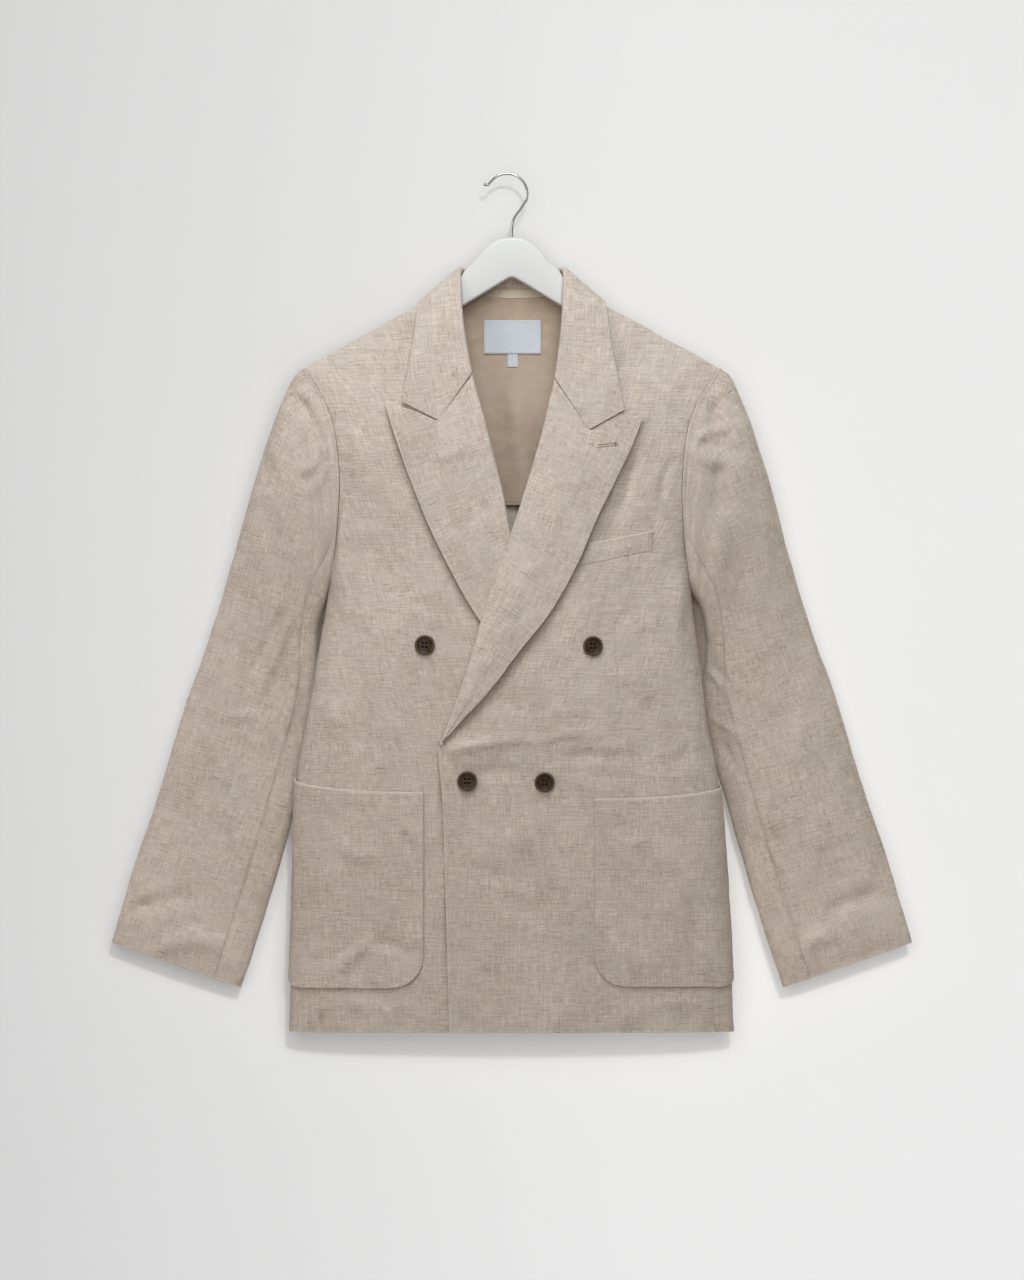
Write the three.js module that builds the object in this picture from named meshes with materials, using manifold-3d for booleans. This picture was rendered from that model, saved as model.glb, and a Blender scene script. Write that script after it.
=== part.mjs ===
// A double-breasted linen blazer on a flat painted hanger with a chrome hook, in millimetres, +Z up.
// X runs to the wearer's left, which a viewer in front sees on the right. Y runs from front to back.
// The origin is where the hook rests on its rail, above the middle of the hanger.
//
// The cloth is a set of cut panels on one form: a ring at each height, fuller in front than behind,
// closing in a ridge along the shoulders, where the cloth lies over the hanger's arms.
import * as THREE from "three";
import { mergeVertices } from "three/addons/utils/BufferGeometryUtils.js";
import Module from "manifold-3d";

const wasm = await Module();
wasm.setup();

// ---------------------------------------------------------------------------- sizes
const CLOTH = 1.5; // a panel with its fusing
const FACING = 1.9; // a lapel or collar, which is two layers
const SEAM = 0.18; // each side of a seam stands back this far
const CLEAR = 0.5; // between a piece and what it lies on

const RING_POWER = 2.8; // how square the rings are: 2 is an ellipse
const NECK_X = 75; // the neck point, where collar, shoulder seam and front meet
const NECK_Z = -123.5;
const NECK_BACK_Z = -131; // the neck seam at the centre back
const SHOULDER_SLOPE = 0.5465;
const RIDGE = 10; // radius of the cloth over the hanger's arm
const FRONT_FALL = 140; // below the ridge the front reaches its full depth in this height
const BACK_FALL = 100;
const GORGE_Z = -212; // the collar ends and the lapel begins at this height on the fold
const BREAK_Z = -596; // the lapel ends here, and the plain front edge begins
const BREAK_TOP = BREAK_Z + 6; // the fold's inset runs out between these two heights
const BREAK_FOOT = BREAK_Z - 2;
const HEM_Z = -898;

const ROLL = 4.6; // a lapel's height above the front at its fold
const LAPEL_EDGE = 3; // and at its edge
const FOLD_INSET = (ROLL + CLOTH) / 2 + 2 * SEAM; // the front stops this far inside the fold

// ---------------------------------------------------------------------------- tables
// A table with named columns, whose first column is its key and rises or falls steadily.
function table(names, rows) {
  const columns = Object.fromEntries(names.map((name, i) => [name, rows.map((row) => row[i])]));
  return { key: rows.map((row) => row[0]), columns };
}

// A column at a place along the key: a smooth cubic through the rows, held level past the ends.
function look({ key, columns }, name, at) {
  const value = columns[name];
  const rising = key[1] > key[0] ? 1 : -1;
  const last = key.length - 1;
  if ((at - key[0]) * rising <= 0) return value[0];
  if ((at - key[last]) * rising >= 0) return value[last];
  let i = 0;
  while ((at - key[i + 1]) * rising > 0) i++;
  const slope = (k) => {
    const low = Math.max(0, k - 1);
    const high = Math.min(last, k + 1);
    return (value[high] - value[low]) / (key[high] - key[low]);
  };
  const step = key[i + 1] - key[i];
  const t = (at - key[i]) / step;
  const keep = (1 + 2 * t) * (1 - t) ** 2;
  const bend = t * (1 - t) ** 2 * slope(i) - t * t * (1 - t) * slope(i + 1);
  return keep * value[i] + (1 - keep) * value[i + 1] + step * bend;
}

// The body's rings: half width, sideways shift, depth in front and behind, and the side's place in Y.
const BODY = table(["z", "half", "shift", "front", "back", "side"], [
  [-100, 252, 0, 38, 20, 0],
  [-202, 240, 0, 42, 21, 0],
  [-257, 224, -1, 45, 21, 0],
  [-305, 212, -1, 47, 21, 0],
  [-343, 204, -1.5, 48, 21, 0],
  [-390, 194.5, -2, 48, 20, -1],
  [-415, 191.8, -2.5, 48, 19, -2],
  [-437, 190.5, -2.5, 48, 18, -3],
  [-487, 197, -3.5, 47, 17, -7],
  [-536, 204.5, -4.5, 45, 17, -9],
  [-580, 211.5, -5.5, 44, 17, -10],
  [-631, 221, -5, 42, 17, -10],
  [-700, 227, -3, 40, 17, -8],
  [-780, 230.5, -1.5, 38, 18, -5],
  [HEM_Z, 233.5, -0.5, 35, 19, -3],
]);

// The armhole seam, once round from the shoulder tip: down the front, under the arm and up the back.
const ARMHOLE = table(["turn", "angle", "z"], [
  [0, 29.8, -202],
  [20, 33, -214],
  [40, 37.2, -237],
  [60, 39, -267],
  [80, 37.3, -305],
  [100, 33.3, -343],
  [120, 27, -375],
  [140, 19.5, -404],
  [160, 11, -426],
  [180, 0, -437],
  [200, -14, -434],
  [220, -27, -424],
  [240, -34, -405],
  [260, -37.5, -374],
  [280, -38.5, -335],
  [300, -38, -294],
  [320, -36.5, -254],
  [340, -33.5, -221],
  [360, -29.8, -202],
]);

// Rows and columns that meet the armhole do so at these turns, on both sides of its seam.
const FRONT_TURNS = [0, 8, 18, 32, 48, 66, 84, 103, 121, 140, 158];
const SIDE_TURNS = [158, 169, 180, 192, 204, 215, 226];
const BACK_TURNS = [360, 353, 344, 334, 322, 303, 282, 262, 244, 226];
const FOREARM_SEAM = 121; // the sleeve's two seams, as turns round it
const HIND_SEAM = 322;
const SEAM_HEIGHTS = [-468, -512, -552, BREAK_TOP, BREAK_FOOT, -655, -715, -775, -836, HEM_Z];
const STRAIGHT_ROWS = 2; // the last rows at the armhole run straight, and those above bend with the top edge
const ROW_PASSES = 5; // a row's heights settle in this many passes

// The side seams, as angles round the ring: 0 is the silhouette, positive is in front.
const FRONT_SEAM = table(["z", "angle"], [
  [-424, 11.9],
  [-450, 8],
  [-502, 7.5],
  [-536, 12],
  [-570, 18],
  [-631, 25],
  [-760, 30],
  [HEM_Z, 28.5],
]);
const BACK_SEAM = table(["z", "angle"], [
  [-419, -30.3],
  [-470, -38],
  [-560, -45],
  [-700, -47],
  [HEM_Z, -44],
]);

// The fold of each lapel, and below its break the front edge. The wearer's left laps over the right.
const FOLD_LEFT = table(["z", "x"], [
  [-104, 52.5],
  [-136, 52.5],
  [-165, 50.5],
  [-194, 47],
  [-214.3, 44.1],
  [-239, 38.3],
  [-280, 28.4],
  [-319, 16.8],
  [-355, 5.8],
  [-446, -25.8],
  [-529, -50.7],
  [-574, -66.8],
  [BREAK_Z, -74.9],
  [-620, -75.6],
  [-655, -72.5],
  [-760, -69],
  [HEM_Z, -65.5],
]);
const FOLD_RIGHT = table(["z", "x"], [
  [-104, -51.5],
  [-136, -50.4],
  [-168, -47],
  [-209.5, -41],
  [-227, -36.5],
  [-250, -30],
  [-295, -18.6],
  [-332, -9.5],
  [-370, -2.2],
  [-450, 15],
  [-520, 33],
  [BREAK_Z, 58],
  [-650, 64],
  [HEM_Z, 66],
]);

// How far the left front stands off the right one where they lap.
const LAP = table(["z", "lift"], [
  [-209, 0],
  [-300, 4.4],
  [-373, 7],
  [BREAK_Z, 7],
  [-660, 5],
  [HEM_Z, 3.2],
]);
const LAP_FULL_X = 60;
const LAP_NONE_X = 150;

// The heights at which the front's rows leave its inner edge, and the back's rows the centre seam.
const FRONT_HEIGHTS = [NECK_Z, -126.5, -133, -149, -175, -207, -246, -290, -335, -380, -424];
const BACK_HEIGHTS = [NECK_BACK_Z, -133.5, -138.5, -147, -161, -191, -238, -300, -362, -419];

// The sleeve's rings: outer and inner points seen from the front, half depths before and behind its middle,
// how far back the middle lies, and how far the ring bows towards the body.
const SLEEVE = table(
  ["ring", "outerX", "outerZ", "innerX", "innerZ", "front", "back", "middle", "bow"],
  [
    [0, 217, -202, 190.5, -437, 29, 17, 0, 25],
    [1, 229, -211, 192.5, -442, 30, 18, 0, 20],
    [2, 241, -236, 195, -448, 31, 19, 1, 13],
    [3, 256, -276, 199, -458, 31, 20, 4, 6],
    [4, 272, -326, 203, -476, 28, 21, 10, 1],
    [5, 293, -404, 204, -506, 24, 20, 18, 0],
    [6, 319, -488, 200, -549, 21, 18, 23, 0],
    [7, 342, -551, 208, -597, 20, 17, 23, 0],
    [8, 367, -635, 231, -678, 18, 15, 18, 0],
    [9, 395, -719, 256, -765, 15, 12, 11, 0],
    [10, 420.5, -805, 284.6, -852.5, 10, 9, 6, 0],
  ],
);
const SLEEVE_POWER = 0.8; // the power of the sleeve's section: 1 is an ellipse, less is fuller
const HEAD_RINGS = 2.5; // over these rings the sleeve's section takes over from the armhole's shape

// The lapels: the notch where the collar's end meets them, then their edges from the peak to the break,
// with the height on the fold that each row starts from. The first row bends down through the notch.
const NOTCH_LEFT = { x: 80.8, z: -268.8 };
const NOTCH_RIGHT = { x: -77.7, z: -258.6 };
const LAPEL_LEFT = table(["row", "fold", "x", "z"], [
  [0, -214.8, 138, -251.5],
  [1, -237, 134.5, -262],
  [2, -268, 124, -289],
  [3, -300, 107, -324],
  [4, -335, 88, -363],
  [5, -372, 67.7, -410],
  [6, -412, 40, -459],
  [7, -460, 8.4, -499],
  [8, -510, -22, -539.5],
  [9, -556, -49, -569],
  [10, -586, -67, -589],
]);
const LAPEL_RIGHT = table(["row", "fold", "x", "z"], [
  [0, -210, -134, -236.5],
  [1, -236, -128.5, -256],
  [2, -268, -115, -297],
  [3, -300, -101, -335],
  [4, -335, -83, -377],
  [5, -372, -62, -419],
  [6, -412, -40, -458],
  [7, -460, -12, -497],
  [8, -510, 14, -535],
  [9, -556, 36, -568],
  [10, -586, 47.5, -589],
]);
const NOTCH_ROWS = 5; // the rows below the notch straighten over this many

// The collar's left half, from the gorge to the centre back: its crease, its edge and the neck seam.
// The first row's edge is the notch and the second row's is the leaf's corner.
const COLLAR_CREASE = table(["row", "x", "y", "z"], [
  [0, 44.1, -41.8, -213],
  [1, 46.2, -39.8, -200],
  [2, 50, -34, -172],
  [3, 52.3, -25, -142],
  [4, 53, -14.5, -117],
  [5, 53.5, -7, -101.5],
  [6, 53, 0, -97.3],
  [7, 49.5, 9, -96.7],
  [8, 37, 14.3, -99.4],
  [9, 18, 16.5, -102.5],
  [10, 0, 17, -103],
]);
const COLLAR_SEAM = table(["row", "x", "y", "z"], [
  [0, 45.4, -38.8, -214.7],
  [1, 47.8, -37, -203],
  [2, 56, -30, -176],
  [3, 63.6, -22.4, -150.5],
  [4, 69, -13.2, -132.5],
  [5, 71.8, -5, -122],
  [6, 71.5, 2.5, -119.6],
  [7, 63, 8.6, -122.4],
  [8, 48, 11.8, -126.2],
  [9, 25, 14, -129],
  [10, 0, 14.7, -130],
]);
const COLLAR_EDGE = table(["row", "x", "y", "z"], [
  [1, 117.4, -43, -247.3],
  [2, 109, -35, -203],
  [3, 103.5, -26.5, -172],
  [4, 100.5, -17.5, -147],
  [5, 99, -8, -134],
  [6, 95, 5.5, -131.4],
  [7, 86, 15, -134],
  [8, 68, 20.5, -139.5],
  [9, 38, 24, -144],
  [10, 0, 25, -146],
]);
const COLLAR_ROWS = 10; // from a gorge to the centre back
const STAND_ROWS = 3; // over these the stand grows from the gorge
const FRONT_REST_Z = -160; // below this the collar lies on the fronts
// The right leaf hangs this much nearer the middle and higher, and these rows from the gorge take it up.
const RIGHT_COLLAR = { dx: 2.9, dz: 10, rows: 4 };
const COLLAR_STEP = 0.02; // a short way along the collar, to find its direction

// The patch pockets: inner edge, mouth heights at their two ends, and the bottom.
const POCKET = {
  left: { inner: 86, mouth: -653, outerMouth: -639, bottom: -850.5 },
  right: { inner: 92.5, mouth: -646.5, outerMouth: -631.5, bottom: -852 },
};
const POCKET_OUTER_ANGLE = -9; // it wraps this far round behind the silhouette
const POCKET_RISE = 2.4; // the power of its mouth's rise towards the side
const POCKET_CORNER = 34;
const POCKET_CLEAR = 1.1;
const POCKET_WALK = 60; // steps along a ring, to measure across the pocket

// The breast welt starts at the lapel's edge, and its inner end slants with it.
const WELT = {
  innerTop: 80,
  innerFoot: 71,
  outer: 146.5,
  topInner: -387,
  topOuter: -373.8,
  innerDepth: 23,
  outerDepth: 20.5,
};

// Each button's place, the front it is sewn to, and how far its top edge stands off.
const BUTTONS = {
  button_upper_right: { x: -90.8, z: -493, side: -1, tilt: 0 },
  button_upper_left: { x: 84, z: -494, side: 1, tilt: 0 },
  button_lower_right: { x: -46.7, z: -634.7, side: 1, tilt: 0.12 },
  button_lower_left: { x: 34, z: -635.8, side: 1, tilt: 0 },
};
const BUTTON_FOOT = 8.4; // radius of the flat underside
const BUTTON_RADIUS = 10.6;
const BUTTON_THICKNESS = 3.6;
// Half of its section, from the middle of the underside round the rim to the dished middle: radius, height.
const BUTTON_PROFILE = [
  [0, 0],
  [BUTTON_FOOT, 0],
  [BUTTON_RADIUS, 1.2],
  [BUTTON_RADIUS, 2.4],
  [9.6, BUTTON_THICKNESS],
  [8.2, 3.4],
  [6.6, 2.5],
  [0, 2.3],
];
const BUTTON_HOLE = 1; // radius
const BUTTON_HOLES_APART = 3; // from the centre
const BUTTON_STAND = 0.5; // the thread shank holds the button this far off the cloth

// What shows in the neck, on the inside of the back: heights and widths.
const LINING = { below: 2, hem: -346, halfTop: 62, halfHem: 150, inset: 1.7, folds: 1.6, thickness: 0.8 };
const LINING_WAVES = [[0.3, 11, 0], [0.2, 5.3, 1]]; // share, length in mm for a radian, start
const LINING_FOLD_RUN = 100; // the folds grow over this height below the label
const LABEL = { left: -29.5, right: 30.5, top: -151.5, bottom: -186.5, inset: 3.3, thickness: 0.8 };
const SIZE_TAB = { left: -5, right: 6.5, top: -187.2, bottom: -200.5, inset: 3.2, thickness: 0.7 };
const LOOP = { rightRow: -1, leftRow: 1.55, low: 0.05, high: 0.45, thickness: 1.2 }; // rows of the collar

// The hanger, cut from a board.
const HANGER_THICKNESS = 12;
const HANGER_BEVEL = 2;
const HANGER_FORWARD = 0.8; // its middle is this far in front of the shoulder seams
const HANGER_DROP = 5; // the arms run this far below the cloth's ridge
const HANGER_ARM = 24; // their height
const HANGER_NECK_X = 75; // the arms' underside bends here
const HANGER_TIP_X = 200;
const HANGER_TOP_Z = -65;
const HANGER_APEX_Z = -106.5; // the middle of its underside
const HANGER_APEX_FLAT = 6; // half the width of the apex's flat
const HANGER_TIP = [[-8, 0], [0, -5], [1, -14], [-7, 3 - HANGER_ARM]]; // its round, from the tip's top: x, z
const DOME = table(["x", "z"], [
  [0, HANGER_TOP_Z],
  [8, -65.8],
  [18, -69.5],
  [28, -77],
  [39, -90.5],
  [49, -99.4],
  [55, -108.5],
  [61, -116.5],
  [70, -124.4],
  [80, -130.8],
  [90, -136.2],
]);
const DOME_END_X = 90;

// The hook: its wire's radius, the bend's radius to the wire's middle, and the stem.
const WIRE = 1.3;
const BEND_RADIUS = 21.3;
const BEND_X = -5.2;
const STEM_DEPTH = 10; // how far the stem goes into the hanger
const TIP_BALL = 2;
const HOOK_TIP = [[-28, -9.4], [-25.4, -9.9]];
const HOOK_BEND = { from: 142, to: -18 }; // the round of the bend, in degrees from +X
const HOOK_NECK = [[12.6, -29.5], [8.8, -35.6], [4.6, -41.2], [1.4, -47], [0, -54], [0, -60]];

// ---------------------------------------------------------------------------- small sums
const mix = (a, b, t) => a + (b - a) * t;
const clamp = (t) => Math.min(1, Math.max(0, t));
const smooth = (t) => clamp(t) ** 2 * (3 - 2 * clamp(t));
const radians = (degrees) => (degrees * Math.PI) / 180;
const signedPower = (value, power) => Math.sign(value) * Math.abs(value) ** power;
const steps = (from, to, count) => Array.from({ length: count + 1 }, (_, i) => mix(from, to, i / count));

// ---------------------------------------------------------------------------- the form
const ridgeHeight = (x) => NECK_Z - SHOULDER_SLOPE * (Math.abs(x) - NECK_X);

// How far the cloth stands from the hanger's plane, at a drop below the ridge: a quarter round, then a fall.
function depthBelowRidge(drop, full, fall) {
  const round = Math.sqrt(1 - (1 - clamp(drop / RIDGE)) ** 2);
  const fallen = 1 - (1 - clamp(drop / fall)) ** 2;
  return RIDGE * round + (full - RIDGE) * fallen;
}

// A point of the body's form. side is 1 for the wearer's left and -1 for the right. The angle is 0 at the
// silhouette, 90 at the middle of the front and -90 at the middle of the back.
function formPoint(side, angle, z) {
  const turn = radians(angle);
  const power = 2 / RING_POWER;
  const reach = look(BODY, "half", z) * signedPower(Math.cos(turn), power);
  const x = look(BODY, "shift", z) + side * reach;
  const drop = Math.max(0, ridgeHeight(x) - z);
  const full = look(BODY, angle >= 0 ? "front" : "back", z);
  const depth = depthBelowRidge(drop, full, angle >= 0 ? FRONT_FALL : BACK_FALL);
  const y = look(BODY, "side", z) - depth * signedPower(Math.sin(turn), power);
  return new THREE.Vector3(x, y, z);
}

// The angle of the form at a given x, on the front (1) or the back (-1).
function angleAt(side, x, z, face) {
  const share = (side * (x - look(BODY, "shift", z))) / look(BODY, "half", z);
  const cosine = signedPower(Math.min(1, Math.max(-1, share)), RING_POWER / 2);
  return (face * Math.acos(cosine) * 180) / Math.PI;
}

// How far out the left front rises where it laps over the right one.
function lapLift(side, x, z) {
  if (side < 0) return 0;
  return look(LAP, "lift", z) * smooth((LAP_NONE_X - x) / (LAP_NONE_X - LAP_FULL_X));
}

// The front panel's outer face at x and z, and the back's.
function frontFace(side, x, z) {
  const point = formPoint(side, angleAt(side, x, z, 1), z);
  point.y -= lapLift(side, x, z);
  return point;
}
const backFace = (x, z) => formPoint(1, angleAt(1, x, z, -1), z);

// ---------------------------------------------------------------------------- closed sheets
// A closed wall on a surface. point(u, v) is its outer face, us and vs are the places of its columns and
// rows, and facing is a direction that the outer face looks in near the middle of the grid.
function sheet(point, { us, vs, thickness, facing, hold = SEAM }) {
  const wide = us.length;
  const deep = vs.length;
  const within = (list, t) => THREE.MathUtils.clamp(t, Math.min(...list), Math.max(...list));
  const normal = (u, v) => {
    const du = 1e-3 * (us.at(-1) - us[0]);
    const dv = 1e-3 * (vs.at(-1) - vs[0]);
    const across = point(within(us, u + du), v).sub(point(within(us, u - du), v));
    const along = point(u, within(vs, v + dv)).sub(point(u, within(vs, v - dv)));
    return across.cross(along).normalize();
  };
  const sign = normal(us[wide >> 1], vs[deep >> 1]).dot(facing) < 0 ? -1 : 1;
  const outer = vs.flatMap((v) => us.map((u) => point(u, v)));
  const pull = (at, next) => outer[at].addScaledVector(outer[next].clone().sub(outer[at]).normalize(), hold);
  for (let i = 0; i < deep; i++) {
    pull(i * wide, i * wide + 1);
    pull(i * wide + wide - 1, i * wide + wide - 2);
  }
  for (let j = 0; j < wide; j++) {
    pull(j, j + wide);
    pull((deep - 1) * wide + j, (deep - 2) * wide + j);
  }
  const normals = vs.flatMap((v) => us.map((u) => normal(u, v).multiplyScalar(sign)));
  const inner = outer.map((p, i) => p.clone().addScaledVector(normals[i], -thickness));
  const back = outer.length;
  const index = [];
  const triangle = (a, b, c) => index.push(a, ...(sign > 0 ? [b, c] : [c, b]));
  for (let i = 0; i + 1 < deep; i++) {
    for (let j = 0; j + 1 < wide; j++) {
      const a = i * wide + j;
      const [b, c, d] = [a + 1, a + wide + 1, a + wide];
      triangle(a, b, c);
      triangle(a, c, d);
      triangle(a + back, c + back, b + back);
      triangle(a + back, d + back, c + back);
    }
  }
  const rim = (p, q) => {
    triangle(q, p, p + back);
    triangle(q, p + back, q + back);
  };
  const foot = (deep - 1) * wide;
  for (let j = 0; j + 1 < wide; j++) {
    rim(j, j + 1);
    rim(foot + j + 1, foot + j);
  }
  for (let i = 0; i + 1 < deep; i++) {
    rim((i + 1) * wide, i * wide);
    rim(i * wide + wide - 1, (i + 1) * wide + wide - 1);
  }
  const geometry = new THREE.BufferGeometry();
  const positions = [...outer, ...inner].flatMap((p) => [p.x, p.y, p.z]);
  geometry.setAttribute("position", new THREE.Float32BufferAttribute(positions, 3));
  geometry.setIndex(index);
  geometry.computeVertexNormals();
  return geometry;
}

// ---------------------------------------------------------------------------- booleans
function solidOf(geometry) {
  const bare = new THREE.BufferGeometry();
  bare.setAttribute("position", geometry.getAttribute("position").clone());
  if (geometry.index) bare.setIndex(geometry.index.clone());
  const merged = mergeVertices(bare, 1e-4);
  const vertProperties = new Float32Array(merged.attributes.position.array);
  const triVerts = new Uint32Array(merged.index.array);
  return new wasm.Manifold(new wasm.Mesh({ numProp: 3, vertProperties, triVerts }));
}

function geometryOf(solid) {
  const mesh = solid.getMesh();
  const geometry = new THREE.BufferGeometry();
  geometry.setAttribute("position", new THREE.BufferAttribute(new Float32Array(mesh.vertProperties), 3));
  geometry.setIndex(new THREE.BufferAttribute(new Uint32Array(mesh.triVerts), 1));
  geometry.computeVertexNormals();
  return geometry;
}

// ---------------------------------------------------------------------------- materials
const finish = (color, roughness, metalness = 0) =>
  new THREE.MeshStandardMaterial({ color, roughness, metalness });
const LINEN = finish(0xbcae9c, 0.9);
const LINING_SATIN = finish(0xa99886, 0.5);
const LABEL_SATIN = finish(0xd4d8dd, 0.5);
const LOOP_SATIN = finish(0xd9c9ae, 0.45);
const HORN = finish(0x3b2d24, 0.45);
const PAINT = finish(0xf2f2f0, 0.4);
const CHROME = finish(0xc8c8cc, 0.12, 1);

const blazer = new THREE.Group();
const FORWARD = new THREE.Vector3(0, -1, 0);
const BACKWARD = new THREE.Vector3(0, 1, 0);

function add(name, geometry, material) {
  const mesh = new THREE.Mesh(geometry, material);
  mesh.name = name;
  blazer.add(mesh);
  return mesh;
}

// ---------------------------------------------------------------------------- body panels
const armhole = (turn) => ({ angle: look(ARMHOLE, "angle", turn), z: look(ARMHOLE, "z", turn) });
const seamEnd = (seam, z) => ({ angle: look(seam, "angle", z), z });

// A list read at a fractional place.
function along(list, at) {
  const i = Math.min(Math.floor(at), list.length - 2);
  return mix(list[i], list[i + 1], at - i);
}

// The front's inner edge: the neckline down to the gorge, then just inside the fold, then the plain edge.
function frontEdgeX(side, z) {
  const fold = side > 0 ? FOLD_LEFT : FOLD_RIGHT;
  const inset = FOLD_INSET * smooth((z - BREAK_FOOT) / (BREAK_TOP - BREAK_FOOT));
  if (z < GORGE_Z) return look(fold, "x", z) + side * inset;
  const gorgeX = Math.abs(look(fold, "x", GORGE_Z)) + FOLD_INSET;
  return side * mix(NECK_X, gorgeX, clamp((NECK_Z - z) / (NECK_Z - GORGE_Z)));
}

// The top edge of the back: the neckline, then the shoulder ridge.
function backTop(x) {
  const share = Math.abs(x) / NECK_X;
  return share < 1 ? mix(NECK_BACK_Z, NECK_Z, share ** 2) : ridgeHeight(x);
}

// A point of a row from its inner to its outer end. Rows near the top bend with the panel's top edge.
function rowPoint(side, inner, outer, share, bend, top) {
  const angle = mix(inner.angle, outer.angle, share);
  const level = mix(inner.z, outer.z, share);
  const xOf = (a, z) => formPoint(side, a, z).x;
  const straight = mix(top(xOf(inner.angle, inner.z)), top(xOf(outer.angle, outer.z)), share);
  let z = level;
  for (let pass = 0; pass < ROW_PASSES; pass++) z = level + bend * (top(xOf(angle, z)) - straight);
  return formPoint(side, angle, z);
}

// v counts the rows: those that meet the armhole, then those that meet the side seam.
function frontPoint(side, u, v) {
  const arm = FRONT_TURNS.length - 1;
  const below = [FRONT_HEIGHTS.at(-1), ...SEAM_HEIGHTS];
  const innerZ = v <= arm ? along(FRONT_HEIGHTS, v) : along(below, v - arm);
  const outer = v <= arm ? armhole(along(FRONT_TURNS, v)) : seamEnd(FRONT_SEAM, innerZ);
  const inner = { angle: angleAt(side, frontEdgeX(side, innerZ), innerZ, 1), z: innerZ };
  const point = rowPoint(side, inner, outer, u, 1 - smooth(v / (arm - STRAIGHT_ROWS)), ridgeHeight);
  point.y -= lapLift(side, point.x, point.z);
  return point;
}

function sidePoint(side, turn, v) {
  const share = (turn - SIDE_TURNS[0]) / (SIDE_TURNS.at(-1) - SIDE_TURNS[0]);
  const top = armhole(turn);
  const z = v < 1 ? mix(top.z, SEAM_HEIGHTS[0], v) : along(SEAM_HEIGHTS, v - 1);
  const seams = mix(look(FRONT_SEAM, "angle", z), look(BACK_SEAM, "angle", z), share);
  return formPoint(side, mix(top.angle, seams, smooth(v)), z);
}

function backPoint(side, u, v) {
  const arm = BACK_TURNS.length - 1;
  const below = [BACK_HEIGHTS.at(-1), ...SEAM_HEIGHTS];
  const innerZ = v <= arm ? along(BACK_HEIGHTS, v) : along(below, v - arm);
  const outer = v <= arm ? armhole(along(BACK_TURNS, v)) : seamEnd(BACK_SEAM, innerZ);
  const inner = { angle: angleAt(side, look(BODY, "shift", innerZ), innerZ, -1), z: innerZ };
  return rowPoint(side, inner, outer, u, 1 - smooth(v / (arm - STRAIGHT_ROWS)), backTop);
}

function addBody(side, name) {
  const rows = (turns) => [...turns, ...SEAM_HEIGHTS].map((_, row) => row);
  const front = sheet((u, v) => frontPoint(side, u, v), {
    us: steps(0, 1, 8),
    vs: rows(FRONT_TURNS),
    thickness: CLOTH,
    facing: FORWARD,
  });
  const flank = sheet((u, v) => sidePoint(side, u, v), {
    us: SIDE_TURNS,
    vs: steps(0, SEAM_HEIGHTS.length, SEAM_HEIGHTS.length),
    thickness: CLOTH,
    facing: new THREE.Vector3(side, 0, 0),
  });
  const back = sheet((u, v) => backPoint(side, u, v), {
    us: steps(0, 1, 8),
    vs: rows(BACK_TURNS),
    thickness: CLOTH,
    facing: BACKWARD,
  });
  add(`front_${name}`, front, LINEN);
  add(`side_${name}`, flank, LINEN);
  add(`back_${name}`, back, LINEN);
}

// ---------------------------------------------------------------------------- sleeves
// A point of the sleeve's own rings. turn is 0 at the outer edge, 90 in front and 180 at the inner edge.
function ringPoint(side, turn, ring) {
  const at = (name) => look(SLEEVE, name, ring);
  const share = signedPower(Math.cos(radians(turn)), SLEEVE_POWER);
  const depth = signedPower(Math.sin(radians(turn)), SLEEVE_POWER);
  const middle = (at("outerX") + at("innerX")) / 2;
  const half = (at("outerX") - at("innerX")) / 2;
  const x = middle + half * share - at("bow") * (1 - share ** 2);
  const z = mix(at("innerZ"), at("outerZ"), (share + 1) / 2);
  const y = at("middle") - depth * at(depth > 0 ? "front" : "back");
  return new THREE.Vector3(side * x, y, z);
}

// The sleeve starts on the armhole and takes its own section within a few rings.
function sleevePoint(side, turn, ring) {
  const round = ((turn % 360) + 360) % 360;
  const seam = armhole(round);
  const gap = formPoint(side, seam.angle, seam.z).sub(ringPoint(side, round, 0));
  return ringPoint(side, round, ring).addScaledVector(gap, 1 - smooth(ring / HEAD_RINGS));
}

function addSleeve(side, name) {
  const rings = [0, 0.5, 1, 1.5, 2, 3, 4, 5, 6, 7, 8, 9, 10];
  const hind = BACK_TURNS.filter((turn) => turn >= HIND_SEAM).reverse();
  const fore = FRONT_TURNS.filter((turn) => turn <= FOREARM_SEAM);
  const topTurns = [...hind.slice(0, -1).map((turn) => turn - 360), ...fore];
  const underTurns = [
    ...FRONT_TURNS.filter((turn) => turn >= FOREARM_SEAM),
    ...SIDE_TURNS.slice(1, -1),
    ...BACK_TURNS.filter((turn) => turn <= HIND_SEAM).reverse(),
  ];
  const point = (turn, ring) => sleevePoint(side, turn, ring);
  const outward = new THREE.Vector3(side, -0.5, 0);
  const inward = outward.clone().negate();
  const top = sheet(point, { us: topTurns, vs: rings, thickness: CLOTH, facing: outward });
  const under = sheet(point, { us: underTurns, vs: rings, thickness: CLOTH, facing: inward });
  add(`top_sleeve_${name}`, top, LINEN);
  add(`under_sleeve_${name}`, under, LINEN);
}

// ---------------------------------------------------------------------------- lapels and collar
const FOLD_RADIUS = (ROLL + CLOTH) / 2;

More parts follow.
